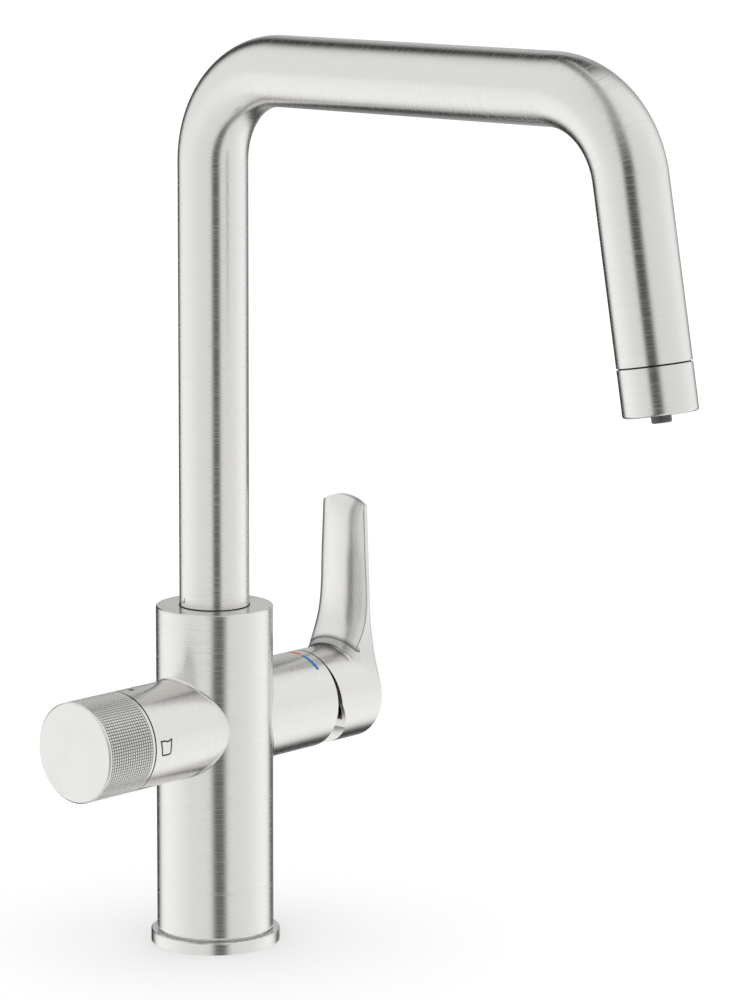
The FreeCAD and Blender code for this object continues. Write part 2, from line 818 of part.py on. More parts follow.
def make_outlet_seal():
    return o_ring("outlet_o_ring", "outlet", "neck_seal_centre", "neck_seal_section", "neck_seal_place")


def make_aerator_gasket():
    return washer("aerator_gasket", "outlet", "aerator_radius", "neck_bore", "outlet_ledge", "aerator_start")


# Aerator insert: two rings of jets round a hub that holds the nozzle
def make_aerator_insert():
    insert = turned("aerator_insert", "outlet", [
        ("aerator_hub_bore", "aerator_start"),
        ("aerator_radius", "aerator_start"),
        ("aerator_radius", "outlet_end - aerator_recess"),
        ("nozzle_radius + seat_gap", "outlet_end - aerator_recess"),
        ("nozzle_radius + seat_gap", "aerator_floor"),
        ("aerator_hub_bore", "aerator_floor"),
    ])
    ring_of_holes(insert, "outer_jet_circle", "jet_radius", "outer_jet_count")
    ring_of_holes(insert, "inner_jet_circle", "jet_radius", "inner_jet_count")
    return insert


# Nozzle for filtered water: a barb in the hose, a collar in the aerator's hub and the tip below
def make_filtered_nozzle():
    return turned("filtered_nozzle", "outlet", [
        ("nozzle_bore", "hose_end - nozzle_barb_length"),
        ("hose_bore", "hose_end - nozzle_barb_length"),
        ("hose_bore", "hose_end"),
        ("aerator_hub_bore - seat_gap", "hose_end"),
        ("aerator_hub_bore - seat_gap", "aerator_floor"),
        ("nozzle_radius", "aerator_floor"),
        ("nozzle_radius", "nozzle_end - edge_break"),
        ("nozzle_radius - edge_break", "nozzle_end"),
        ("nozzle_bore", "nozzle_end"),
    ])


FILTER_PORTS = [("0", "filter_way_y"), ("0", "-(filter_way_y)")]
MIXER_PORTS = [
    ("mixer_port_rise", "inlet_y"),
    ("mixer_port_rise", "-(inlet_y)"),
    ("-mixed_port_drop", "0"),
]


# A round plate with the valve's ports through it
def ported_plate(label, frame, radius, start, height, ports):
    end = "%s + %s" % (start, height)
    plate = turned(label, frame, [("0", start), (radius, start), (radius, end), ("0", end)])
    holes(plate, ports, "way_radius")
    return plate


def make_filter_port_seal():
    return ported_plate("filter_port_seal", "filter", "shell_radius", "filter_floor",
                        "port_seal_height", FILTER_PORTS)


def make_filter_fixed_disc():
    return ported_plate("filter_fixed_disc", "filter", "filter_disc_radius", "fixed_disc_start",
                        "disc_height", FILTER_PORTS)


# Turning ceramic disc: a bridge groove below joins the ports when open, a slot above takes the drive
def make_filter_turning_disc():
    disc = turned("filter_turning_disc", "filter", [
        ("0", "turning_disc_start"),
        ("filter_disc_radius - running_gap", "turning_disc_start"),
        ("filter_disc_radius - running_gap", "turning_disc_end"),
        ("0", "turning_disc_end"),
    ])
    bridge = sketch_on(disc, "XY_Plane", "turning_disc_start")
    rectangle(bridge, "2 * filter_way_y + bridge_width", "bridge_width")
    pocket(disc, bridge, "bridge_depth")
    slot = sketch_on(disc, "XY_Plane", "turning_disc_end - tongue_depth - seat_gap")
    rectangle(slot, "tongue_length + 2 * seat_gap", "tongue_width + 2 * seat_gap")
    pocket(disc, slot, "tongue_depth + seat_gap")
    return disc


def make_filter_shell():
    return turned("filter_valve_shell", "filter", [
        ("shell_radius - shell_wall", "fixed_disc_start"),
        ("shell_radius", "fixed_disc_start"),
        ("shell_radius", "filter_step"),
        ("spindle_hole", "filter_step"),
        ("spindle_hole", "shell_cup_end"),
        ("shell_radius - shell_wall", "shell_cup_end"),
    ])


# Filter spindle: a drive plate with a tongue, a sealed stem and a square end for the knob
def make_filter_spindle():
    seal_low = "spindle_seal_place - spindle_seal_section - running_gap"
    seal_high = "spindle_seal_place + spindle_seal_section + running_gap"
    seal_floor = "spindle_seal_centre - spindle_seal_section"
    spindle = turned("filter_spindle", "filter", [
        ("0", "turning_disc_end"),
        ("filter_disc_radius - running_gap", "turning_disc_end"),
        ("filter_disc_radius - running_gap", "plate_end"),
        ("spindle_radius", "plate_end"),
        ("spindle_radius", seal_low),
        (seal_floor, seal_low),
        (seal_floor, seal_high),
        ("spindle_radius", seal_high),
        ("spindle_radius", "drive_start"),
        ("0", "drive_start"),
    ])
    tongue = sketch_on(spindle, "XY_Plane", "turning_disc_end - tongue_depth")
    rectangle(tongue, "tongue_length", "tongue_width")
    pad(spindle, tongue, "tongue_depth + spindle_plate / 2")
    drive = sketch_on(spindle, "XY_Plane", "drive_start - overshoot")
    rectangle(drive, "drive_square", "drive_square")
    pad(spindle, drive, "drive_end - drive_start + overshoot")
    return spindle


def make_spindle_seal():
    return o_ring("filter_spindle_o_ring", "filter", "spindle_seal_centre", "spindle_seal_section",
                  "spindle_seal_place")


def make_thrust_washer():
    return washer("filter_thrust_washer", "filter", "filter_disc_radius - running_gap",
                  "spindle_radius + seat_gap", "plate_end", "washer_end")


# Ring nut that holds the filter valve, with two holes for a pin spanner
def make_filter_nut():
    nut = washer("filter_nut", "filter", "filter_thread - seat_gap", "filter_nut_bore",
                 "filter_step", "nut_end")
    holes(nut, [("spanner_hole_circle", "0"), ("-spanner_hole_circle", "0")], "spanner_hole_radius")
    return nut


# Glide ring in the barrel's mouth, on which the knob's skirt turns
def make_knob_glide_ring():
    return turned("knob_glide_ring", "filter", [
        ("glide_ring_bore", "nut_end"),
        ("filter_thread - seat_gap", "nut_end"),
        ("filter_thread - seat_gap", "filter_barrel_end"),
        ("knob_bore - running_gap", "filter_barrel_end"),
        ("knob_bore - running_gap", "filter_barrel_end + glide_ring_reach"),
        ("glide_ring_bore", "filter_barrel_end + glide_ring_reach"),
    ])


# Knob: a cup with a closed face and an inner boss
def make_filter_knob():
    return turned("filter_knob", "filter", [
        ("knob_bore", "knob_start"),
        ("knob_radius - edge_break", "knob_start"),
        ("knob_radius", "knob_start + edge_break"),
        ("knob_radius", "knob_end - knob_edge"),
        ("knob_radius - knob_edge", "knob_end"),
        ("0", "knob_end"),
        ("0", "knob_end - knob_face"),
        ("insert_radius", "knob_end - knob_face"),
        ("insert_radius", "knob_boss_start"),
        ("knob_boss_radius", "knob_boss_start"),
        ("knob_boss_radius", "knob_end - knob_face"),
        ("knob_bore", "knob_end - knob_face"),
    ])


# Snap insert in the knob's boss, with a square hole on the spindle's end
def make_knob_insert():
    insert = turned("knob_insert", "filter", [
        ("0", "insert_start"),
        ("insert_radius", "insert_start"),
        ("insert_radius", "insert_end"),
        ("0", "insert_end"),
    ])
    sketch = sketch_on(insert, "XY_Plane")
    rectangle(sketch, "drive_square + 2 * running_gap", "drive_square + 2 * running_gap")
    pocket(insert, sketch)
    return insert


def make_mixer_port_seal():
    return ported_plate("mixer_port_seal", "mixer", "mixer_shell_radius", "mixer_floor",
                        "port_seal_height", MIXER_PORTS)


def make_mixer_base():
    return ported_plate("mixer_valve_base", "mixer", "mixer_shell_radius", "mixer_base_start",
                        "mixer_base_height", MIXER_PORTS)


def make_mixer_fixed_disc():
    return ported_plate("mixer_fixed_disc", "mixer", "mixer_disc_radius", "mixer_disc_start",
                        "disc_height", MIXER_PORTS)


# Moving ceramic disc: a mixing chamber below, and a slot above for the lever pin's tail
def make_mixer_moving_disc():
    end = "moving_disc_start + disc_height"
    disc = turned("mixer_moving_disc", "mixer", [
        ("0", "moving_disc_start"),
        ("moving_disc_radius", "moving_disc_start"),
        ("moving_disc_radius", end),
        ("0", end),
    ])
    chamber = sketch_on(disc, "XY_Plane", "moving_disc_start")
    circle(chamber, ("0", "0"), "chamber_radius")
    pocket(disc, chamber, "chamber_depth")
    slot = sketch_on(disc, "XY_Plane", end + " - tail_slot_depth")
    rectangle(slot, "tail_slot", "tail_slot", ("moving_disc_travel / 2", "0"))
    pocket(disc, slot, "tail_slot_depth")
    disc.setExpression("Placement.Base.z", bind("barrel_height - moving_disc_travel / 2"))
    return disc


def make_mixer_shell():
    return turned("mixer_valve_shell", "mixer", [
        ("mixer_cup_radius", "mixer_disc_start"),
        ("mixer_shell_radius", "mixer_disc_start"),
        ("mixer_shell_radius", "mixer_step"),
        ("shell_mouth", "mixer_step"),
        ("shell_mouth", "mixer_step - shell_lip"),
        ("mixer_cup_radius", "mixer_step - shell_lip"),
    ])


# A hole across a valve piece for the lever's pivot
def pivot_hole(body, radius):
    sketch = sketch_on(body, "XZ_Plane")
    circle(sketch, ("0", "pivot_reach"), radius)
    pocket(body, sketch)


# Rotor that turns in the valve shell: a slot for the lever pin and a cross hole for its pivot
def make_mixer_rotor():
    rotor = turned("mixer_rotor", "mixer", [
        ("0", "rotor_start"),
        ("mixer_cup_radius - running_gap", "rotor_start"),
        ("mixer_cup_radius - running_gap", "rotor_end"),
        ("0", "rotor_end"),
    ])
    slot = sketch_on(rotor, "XY_Plane")
    rectangle(slot, "rotor_slot_height", "2 * (lever_pin_radius + lever_pin_side_gap)")
    pocket(rotor, slot)
    pivot_hole(rotor, "pivot_radius + running_gap")
    return rotor


def make_pivot_pin():
    pin = cylinder("lever_pivot_pin", "pivot_radius", "pivot_length", ALONG_Y,
                   ("pivot_reach", "-pivot_length / 2", "barrel_height"))
    pin.Label = "lever_pivot_pin"
    return pin


# Steel lever pin: a tail in the moving disc, a round waist on the pivot and a shank in the lever
def make_lever_pin():
    pin = turned("lever_pin", "mixer", [
        ("0", "tail_tip"),
        ("tail_radius", "tail_tip"),
        ("tail_radius", "tail_root"),
        ("lever_pin_radius", "tail_root"),
        ("lever_pin_radius", "lever_shank_start"),
        ("lever_shank_radius", "lever_shank_start"),
        ("lever_shank_radius", "lever_shank_end"),
        ("0", "lever_shank_end"),
    ])
    pivot_hole(pin, "pivot_radius + running_gap")
    return pin


def make_mixer_nut():
    return washer("mixer_nut", "mixer", "mixer_thread - seat_gap", "mixer_nut_bore",
                  "mixer_step", "mixer_nut_end")


def make_mixer_cover():
    return washer("mixer_cover_ring", "mixer", "mixer_thread - seat_gap", "cover_bore",
                  "mixer_nut_end", "mixer_barrel_end")


# Half width of the lever's outline at a height: the concave flank, then the tapering blade
def flank_width(height):
    return "flank_y - sqrt(flank_radius ^ 2 - (%s - flank_z) ^ 2)" % height


def blade_width(height):
    return "flank_end_y - (%s - flank_end_z) * tan(blade_taper)" % height


# Section of the blade: a line at the rim, two side walls and an arc towards the column
def blade_section(body, height, width, edge_width, wall, share):
    half = "(%s - rim_step)" % width
    edge = "(%s - rim_step)" % edge_width
    depth = "(blade_depth_ratio * %s * %s)" % (edge, share)
    radius = "((%s ^ 2 + %s ^ 2) / (2 * %s))" % (edge, depth, depth)
    opening = "asin(%s / %s) / (1 deg)" % (edge, radius)
    face = "(lever_end - %s)" % wall
    low, high = ("blade_root", "-" + half), ("blade_root", half)
    low_edge, high_edge = (face, "-" + edge), (face, edge)
    centre = ("%s - %s + %s" % (face, depth, radius), "0")
    sketch = sketch_on(body, "XY_Plane", height)
    line(sketch, low, high)
    line(sketch, high, high_edge)
    arc(sketch, centre, radius, "180 - " + opening, "180 + " + opening, high_edge, low_edge)
    line(sketch, low_edge, low)
    return sketch


# Sections of the heel: the share of its height, and how far the face's edge draws in there
HEEL_SECTIONS = ((0.2, 0.45), (0.31, 0.7), (0.41, 1), (0.475, 0.82), (0.6, 0.4), (0.77, 0.08), (1, 0))
SADDLE_SECTIONS = HEEL_SECTIONS[:-1]

# Sections of the crown, as shares of its drop below the top
CROWN_SHARES = (1, 0.65, 0.4, 0.2, 0, -0.05)


# One section of the heel, whose face lies lower by the step and whose sides by the inset
def heel_section(body, share, pinch, step, inset):
    height = "(heel_height * %s)" % share
    outline = blade_width(height) if share == 1 else flank_width(height)
    width = "(%s - %s)" % (outline, inset)
    edge_width = "(%s - heel_pinch * %s)" % (width, pinch)
    wall = "(face_wall - %s + (heel_height - %s) ^ 2 / (2 * heel_radius))" % (step, height)
    return blade_section(body, height, width, edge_width, wall, "1")


def loft(body, label, sections):
    feature = body.newObject("PartDesign::AdditiveLoft", label)
    feature.Profile = sections[0]
    feature.Sections = sections[1:]
    doc.recompute()


# Lever casting: a cylindrical hub, a blade with a cushioned face and a thin rim plate in a teardrop outline
def make_lever():
    lever = new_body("lever", "lever")
    sections = [heel_section(lever, share, pinch, "0", "0") for share, pinch in HEEL_SECTIONS]
    height = "(heel_height + blade_mid_rise)"
    width = "(%s)" % blade_width(height)
    sections.append(blade_section(lever, height, width, width, "face_wall", "1"))
    for share in CROWN_SHARES:
        height = "(lever_top - crown_drop * %s)" % share
        width = "(%s)" % blade_width(height)
        fall = "(crown_drop * %s / (crown_drop + crown_reach))" % (1 - share)
        sections.append(blade_section(lever, height, width, width, "face_wall", "sqrt(1 - %s ^ 2)" % fall))
    loft(lever, "lever_blade", sections)

    # The cushioned face ends in an edge round the hub, and a saddle goes on below it
    face_end = sketch_on(lever, "YZ_Plane", "lever_start - cut_spare")
    circle(face_end, ("0", "0"), "saddle_radius")
    pocket(lever, face_end, "lever_end - lever_start + 2 * cut_spare")
    saddle = [heel_section(lever, share, pinch, "saddle_step", "rim_step") for share, pinch in SADDLE_SECTIONS]
    loft(lever, "lever_saddle", saddle)

    # The arched top
    right = ("crown_half", "crown_start")
    left = ("-crown_half", "crown_start")
    crown_centre = ("0", "lever_top - crown_radius")
    crown_angle = "asin(crown_half / crown_radius) / (1 deg)"
    above = "lever_top + 2 * lever_radius"
    crown = sketch_on(lever, "YZ_Plane", "lever_start")
    line(crown, right, ("2 * crown_half", "crown_start"))
    line(crown, ("2 * crown_half", "crown_start"), ("2 * crown_half", above))
    line(crown, ("2 * crown_half", above), ("-2 * crown_half", above))
    line(crown, ("-2 * crown_half", above), ("-2 * crown_half", "crown_start"))
    line(crown, ("-2 * crown_half", "crown_start"), left)
    arc(crown, crown_centre, "crown_radius", "90 - " + crown_angle, "90 + " + crown_angle, right, left)
    pocket(lever, crown, "lever_end - lever_start + overshoot")

    # The rim plate
    rim = sketch_on(lever, "YZ_Plane", "rim_start")
    low_right = ("lever_radius * cos(flank_angle)", "lever_radius * sin(flank_angle)")
    low_left = ("-(lever_radius * cos(flank_angle))", "lever_radius * sin(flank_angle)")
    flank_right = ("flank_end_y", "flank_end_z")
    flank_left = ("-(flank_end_y)", "flank_end_z")
    arc(rim, ("0", "0"), "lever_radius", "180 - flank_angle", "360 + flank_angle", low_left, low_right)
    arc(rim, ("flank_y", "flank_z"), "flank_radius", "180 + blade_taper", "180 + flank_angle",
        flank_right, low_right)
    line(rim, flank_right, right)
    arc(rim, crown_centre, "crown_radius", "90 - " + crown_angle, "90 + " + crown_angle, right, left)
    line(rim, left, flank_left)
    arc(rim, ("-(flank_y)", "flank_z"), "flank_radius", "-flank_angle", "-blade_taper",
        low_left, flank_left)
    pad(lever, rim, "rim_thickness")
    end = value("lever_end")

    def outer_edge(edge):
        return abs(edge.BoundBox.XMin - end) < NEAR

    # The saddle's foot on the hub, and the two long sides of the cushioned face
    def inside(edge):
        box = edge.BoundBox
        return box.XMin > value("lever_start") + NEAR and box.XMax < value("rim_start") - NEAR

    def saddle_foot(edge):
        middle = edge.valueAt((edge.FirstParameter + edge.LastParameter) / 2)
        on_hub = abs(math.hypot(middle.y, middle.z) - value("lever_radius")) < NEAR
        return inside(edge) and on_hub and edge.BoundBox.YLength > value("lever_radius")

    def face_side(edge):
        return inside(edge) and edge.BoundBox.ZLength > value("heel_height")

    # The hub with its mouth, cavity, socket and screw hole
    hub = sketch_on(lever, "YZ_Plane", "lever_start")
    circle(hub, ("0", "0"), "lever_radius")
    pad(lever, hub, "lever_end - lever_start")
    round_edges(lever, "rim_round", outer_edge)
    round_edges(lever, "saddle_round", saddle_foot)
    round_edges(lever, "face_round", face_side)
    mouth = sketch_on(lever, "YZ_Plane", "lever_start - overshoot")
    circle(mouth, ("0", "0"), "lever_mouth_radius")
    pocket(lever, mouth, "lever_mouth_depth + overshoot")
    cavity = sketch_on(lever, "YZ_Plane", "lever_start - overshoot")
    circle(cavity, ("0", "0"), "lever_cavity_radius")
    pocket(lever, cavity, "lever_cavity_depth + overshoot")
    socket = sketch_on(lever, "YZ_Plane", "lever_cavity_end - overshoot")
    circle(socket, ("0", "0"), "screw_socket")
    pocket(lever, socket, "lever_shank_end + running_gap - lever_cavity_end + overshoot")
    screw_hole = sketch_on(lever, "XY_Plane", "-lever_radius - overshoot")
    circle(screw_hole, ("set_screw_reach", "0"), "set_screw_radius + running_gap")
    pocket(lever, screw_hole, "lever_radius + overshoot")

    # The relief opens gently from above, then more, and leaves room for the tilt
    relief = sketch_on(lever, "XZ_Plane")
    polygon(relief, [
        ("lever_start - cut_spare", "relief_top"),
        ("lever_start", "relief_top"),
        ("lever_start + relief_mid", "0"),
        ("lever_start + relief_deep", "-relief_low"),
        ("lever_start + relief_foot_deep", "-(relief_foot)"),
        ("lever_start - cut_spare", "-(relief_foot)"),
    ])
    pocket(lever, relief)
    return lever


# Points down out of the lever's hub
DOWN = FreeCAD.Rotation(V(1, 0, 0), 180)


def make_set_screw():
    tip = "lever_shank_radius"
    head = tip + " + set_screw_length"
    screw = turned("lever_set_screw", "lever", [
        ("0", tip),
        ("set_screw_radius - edge_break", tip),
        ("set_screw_radius", tip + " + edge_break"),
        ("set_screw_radius", head),
        ("0", head),
    ])
    key_socket(screw, head)
    place(screw, DOWN, ("set_screw_reach", "0", "barrel_height"))
    return screw


def make_lever_plug():
    low = "lever_radius - plug_sink"
    plug = turned("lever_plug", "lever", [
        ("0", low + " - plug_length"),
        ("set_screw_radius", low + " - plug_length"),
        ("set_screw_radius", low + " - edge_break"),
        ("set_screw_radius - edge_break", low),
        ("0", low),
    ])
    place(plug, DOWN, ("set_screw_reach", "0", "barrel_height"))
    return plug


PIECES = [
    make_body_casting(),
    make_base_ring(),
    make_base_gasket(),
    make_spout_tube(),
    make_spout_spigot(),
    glide_ring("spout_glide_ring_low", 0),
    glide_ring("spout_glide_ring_high", 3),
    make_spout_seal(),
    make_stop_screw(),
    make_filter_stem(),
    make_stem_seal(),
    make_filtered_water_hose(),
    make_outlet_housing(),
    make_outlet_seal(),
    make_aerator_gasket(),
    make_aerator_insert(),
    make_filtered_nozzle(),
    make_filter_port_seal(),
    make_filter_fixed_disc(),
    make_filter_turning_disc(),
    make_filter_shell(),
    make_filter_spindle(),
    make_spindle_seal(),
    make_thrust_washer(),
    make_filter_nut(),
    make_knob_glide_ring(),
    make_filter_knob(),
    make_knob_insert(),
    make_mixer_port_seal(),
    make_mixer_base(),
    make_mixer_fixed_disc(),
    make_mixer_moving_disc(),
    make_mixer_shell(),
    make_mixer_rotor(),
    make_pivot_pin(),
    make_lever_pin(),
    make_mixer_nut(),
    make_mixer_cover(),
    make_lever(),
    make_set_screw(),
    make_lever_plug(),
]

doc.recompute()
for item in doc.Objects:
    if "Invalid" in item.State or "Error" in item.State:
        raise RuntimeError("%s failed: %s" % (item.Label, item.State))
for piece in PIECES:
    if piece.Shape.isNull() or not piece.Shape.isValid() or len(piece.Shape.Solids) != 1:
        raise RuntimeError("%s is not one valid solid" % piece.Label)

os.makedirs("parts", exist_ok=True)
for piece in PIECES:
    piece.Shape.exportStep("parts/%s.step" % piece.Label)
    box = piece.Shape.BoundBox
    print("%-26s %9.1f mm3  x %.1f..%.1f  y %.1f..%.1f  z %.1f..%.1f" % (
        piece.Label, piece.Shape.Volume, box.XMin, box.XMax, box.YMin, box.YMax, box.ZMin, box.ZMax))
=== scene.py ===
import math

import bpy
from mathutils import Matrix, Vector


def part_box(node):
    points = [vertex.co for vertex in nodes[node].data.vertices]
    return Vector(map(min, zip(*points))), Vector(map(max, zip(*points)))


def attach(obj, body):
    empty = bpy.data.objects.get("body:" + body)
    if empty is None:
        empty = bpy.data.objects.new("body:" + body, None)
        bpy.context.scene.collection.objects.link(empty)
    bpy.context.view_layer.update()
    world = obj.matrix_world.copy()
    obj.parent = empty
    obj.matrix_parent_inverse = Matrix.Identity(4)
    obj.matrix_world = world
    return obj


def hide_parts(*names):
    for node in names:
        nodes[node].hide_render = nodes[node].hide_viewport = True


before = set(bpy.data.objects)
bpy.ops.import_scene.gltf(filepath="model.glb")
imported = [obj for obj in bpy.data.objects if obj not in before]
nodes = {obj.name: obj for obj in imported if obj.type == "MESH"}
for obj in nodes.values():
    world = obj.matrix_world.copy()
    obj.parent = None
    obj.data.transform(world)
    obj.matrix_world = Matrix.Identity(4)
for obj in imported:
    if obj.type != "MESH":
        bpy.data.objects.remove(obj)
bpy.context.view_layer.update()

# Body: an upright column with two short barrels on one level axis, the filter valve's at the left and the
# mixer valve's at the right. Cast in stainless steel, turned, then brushed round the column and each barrel.
MM = 0.001
COLUMN_RADIUS = 23.5 * MM
COLUMN_TOP = 137.6 * MM
BARREL_HEIGHT = 90.4 * MM
BARREL_RADIUS = 20 * MM
BARREL_AXIS_POINT = Vector((0, 0, BARREL_HEIGHT))
UPRIGHT = Vector((0, 0, 1))
LEVEL = Vector((1, 0, 0))


def linear(colour):
    """Gives an sRGB hex colour as linear red, green and blue, with full alpha."""
    parts = [int(colour[i:i + 2], 16) / 255 for i in (1, 3, 5)]
    return [p / 12.92 if p <= 0.04045 else ((p + 0.055) / 1.055) ** 2.4 for p in parts] + [1]


def add(tree, kind, inputs, **settings):
    """Adds a node with its settings, and feeds its inputs with values or with other nodes' outputs."""
    node = tree.nodes.new(kind)
    for name, value in settings.items():
        setattr(node, name, value)
    for key, value in inputs.items():
        if isinstance(value, bpy.types.NodeSocket):
            tree.links.new(value, node.inputs[key])
        else:
            node.inputs[key].default_value = value
    return node


def calc(tree, operation, *values):
    """Adds a maths node and gives its result."""
    return add(tree, "ShaderNodeMath", dict(enumerate(values)), operation=operation).outputs[0]


def all_of(tree, *shares):
    """Multiplies shares, for a place's share in all of them."""
    product = shares[0]
    for share in shares[1:]:
        product = calc(tree, "MULTIPLY", product, share)
    return product


def fade(tree, value, start, end, first=0, last=1, **settings):
    """Turns a value that goes from start to end into one that goes from first to last."""
    inputs = dict(enumerate((value, start, end, first, last)))
    return add(tree, "ShaderNodeMapRange", inputs, **settings).outputs[0]


def blend(tree, share, plain, other, **settings):
    """Mixes a share of another colour into a plain one."""
    return add(tree, "ShaderNodeMix", {0: share, 6: plain, 7: other}, data_type="RGBA", **settings).outputs[2]


def own_place(tree):
    """Gives each place on a piece, as the piece stands at rest."""
    return add(tree, "ShaderNodeTexCoord", {}).outputs["Object"]


def new_material(name, metallic):
    """Starts a material on the standard shader, and gives its tree, its shader and the piece's own place."""
    material = bpy.data.materials.new(name)
    material.use_nodes = True
    tree = material.node_tree
    shader = tree.nodes["Principled BSDF"]
    shader.inputs["Metallic"].default_value = metallic
    return material, tree, shader, own_place(tree)


# On a flat end the brush ran in rings too, so the tangent leans a little away from the axis there
END_FACE_LEAN = 3


def round_axis(axis, centre):
    """Gives the nodes for lines brushed in rings round a straight axis: the place across the lines, and the
    direction in which they spread a highlight."""
    def steer(tree, place):
        across = add(tree, "ShaderNodeVectorMath", {0: place, 1: axis}, operation="DOT_PRODUCT")
        spread = add(tree, "ShaderNodeVectorMath",
                     {0: place, 1: [END_FACE_LEAN] * 3, 2: axis - END_FACE_LEAN * centre},
                     operation="MULTIPLY_ADD")
        return across.outputs["Value"], spread.outputs["Vector"]
    return steer


# Real brush lines stand about 0.1 mm apart, finer than a pixel, so they are drawn this coarse to show.
# From the first to the second strength of the pattern, a line goes from smooth to rough.
BRUSH_PITCH = 0.42 * MM
BRUSH_RUN = 16 * MM
BRUSH_DEPTH = 0.0006 * MM
BRUSH_SPREAD = 0.4
BRUSH_DETAIL, BRUSH_UNEVEN = 3, 0.6
BRUSH_STRENGTHS = (0.45, 0.75)


def brushed_metal(name, steer, bright, dull, smooth, rough):
    """Metal with fine parallel lines. They spread each reflection across themselves, so a round piece shows
    soft bands along its length, and uneven lines break up the edges of those bands."""
    material, tree, shader, place = new_material(name, 1)
    across, spread = steer(tree, place)
    row = calc(tree, "MULTIPLY", across, 1 / BRUSH_PITCH)
    row = add(tree, "ShaderNodeCombineXYZ", {"X": row}).outputs[0]
    lines = add(tree, "ShaderNodeVectorMath", {0: place, 1: [1 / BRUSH_RUN] * 3, 2: row},
                operation="MULTIPLY_ADD").outputs[0]
    scratch = add(tree, "ShaderNodeTexNoise", {"Vector": lines, "Scale": 1, "Detail": BRUSH_DETAIL,
                                               "Roughness": BRUSH_UNEVEN}).outputs[0]
    colour = blend(tree, scratch, linear(bright), linear(dull))
    roughness = fade(tree, scratch, *BRUSH_STRENGTHS, smooth, rough)
    relief = add(tree, "ShaderNodeBump",
                 {"Height": scratch, "Strength": 1, "Distance": BRUSH_DEPTH}).outputs[0]
    tree.links.new(colour, shader.inputs["Base Color"])
    tree.links.new(roughness, shader.inputs["Roughness"])
    tree.links.new(spread, shader.inputs["Tangent"])
    tree.links.new(relief, shader.inputs["Normal"])
    shader.inputs["Anisotropic"].default_value = BRUSH_SPREAD
    return material


# Stainless steel, brushed: a pale grey with a touch of warmth, neither mirror nor matt
STEEL_BRIGHT, STEEL_DULL = "#dfdedb", "#dbdad7"
STEEL_SMOOTH, STEEL_ROUGH = 0.21, 0.38
BLEND_ROUND = 0.2 * MM


def brushed_steel(name, steer):
    return brushed_metal(name, steer, STEEL_BRIGHT, STEEL_DULL, STEEL_SMOOTH, STEEL_ROUGH)


def round_column_and_barrels(tree, place):
    """Rings round the column, and round the barrels wherever they stand out of it."""
    rings = round_axis(UPRIGHT, Vector())(tree, place)
    barrel_rings = round_axis(LEVEL, BARREL_AXIS_POINT)(tree, place)
    flat = add(tree, "ShaderNodeVectorMath", {0: place, 1: (1, 1, 0)}, operation="MULTIPLY").outputs[0]
    reach = add(tree, "ShaderNodeVectorMath", {0: flat}, operation="LENGTH").outputs["Value"]
    outside = calc(tree, "GREATER_THAN", reach, COLUMN_RADIUS + BLEND_ROUND)
    across = add(tree, "ShaderNodeMix", {0: outside, 2: rings[0], 3: barrel_rings[0]}).outputs[0]
    spread = add(tree, "ShaderNodeMix", {0: outside, 4: rings[1], 5: barrel_rings[1]},
                 data_type="VECTOR").outputs[1]
    return across, spread


def shade(material, share, colour):
    """Mixes another colour into a material's own, where the share says so."""
    tree = material.node_tree
    base = tree.nodes["Principled BSDF"].inputs["Base Color"]
    tree.links.new(blend(tree, share, base.links[0].from_socket, linear(colour)), base)


def dress(material, *names):
    """Gives CAD nodes a material in place of the plain one they came with."""
    for name in names:
        for slot in nodes[name].material_slots:
            slot.material = material


# The same steel with painted shade: darker in the narrow groove above the base ring
GROOVE_TOP = 5.02 * MM
FOOT_GROOVE_SHADE = "#c4c3bd"
body_steel = brushed_steel("brushed_stainless_steel_body", round_column_and_barrels)
tree = body_steel.node_tree
height = add(tree, "ShaderNodeSeparateXYZ", {"Vector": own_place(tree)}).outputs["Z"]
shade(body_steel, calc(tree, "LESS_THAN", height, GROOVE_TOP), FOOT_GROOVE_SHADE)
# A painted highlight: a fine white line round the column's lower edge just above the groove, where the steel
# is also made rougher
EDGE_TOP, PAINTED_HIGHLIGHT, HIGHLIGHT_ROUGH = 6.15 * MM, "#ffffff", 0.75
edge = all_of(tree, calc(tree, "GREATER_THAN", height, GROOVE_TOP), calc(tree, "LESS_THAN", height, EDGE_TOP))
shade(body_steel, edge, PAINTED_HIGHLIGHT)
finish = tree.nodes["Principled BSDF"].inputs["Roughness"]
highlight_roughness = add(tree, "ShaderNodeMix", {0: edge, 2: finish.links[0].from_socket, 3: HIGHLIGHT_ROUGH}).outputs[0]
tree.links.new(highlight_roughness, finish)
dress(body_steel, "body_casting")

# Base ring: a turned stainless ring round the column's foot, brushed in rings like the column.
# A flat rubber gasket in its underside seals it to the worktop.
upright_steel = brushed_steel("brushed_stainless_steel_upright", round_axis(UPRIGHT, Vector()))
dress(upright_steel, "base_ring")

# A moulded face is cloudy between these two strengths of its pattern, and its gloss varies this much
MOULD_DETAIL, MOULD_CLOUDS, MOULD_GLOSS = 4, (0.3, 0.7), 0.06


def moulded(name, light, dark, roughness, grain, depth):
    """Plastic, rubber or fired ceramic from a mould: one colour with a faint cloudiness, and a fine grain
    from the mould's wall that softens its gloss."""
    material, tree, shader, place = new_material(name, 0)
    speckle = add(tree, "ShaderNodeTexNoise",
                  {"Vector": place, "Scale": 1 / grain, "Detail": MOULD_DETAIL}).outputs[0]
    colour = blend(tree, speckle, linear(light), linear(dark))
    sheen = fade(tree, speckle, *MOULD_CLOUDS, roughness - MOULD_GLOSS, roughness + MOULD_GLOSS)
    relief = add(tree, "ShaderNodeBump", {"Height": speckle, "Strength": 1, "Distance": depth}).outputs[0]
    tree.links.new(colour, shader.inputs["Base Color"])
    tree.links.new(sheen, shader.inputs["Roughness"])
    tree.links.new(relief, shader.inputs["Normal"])
    return material


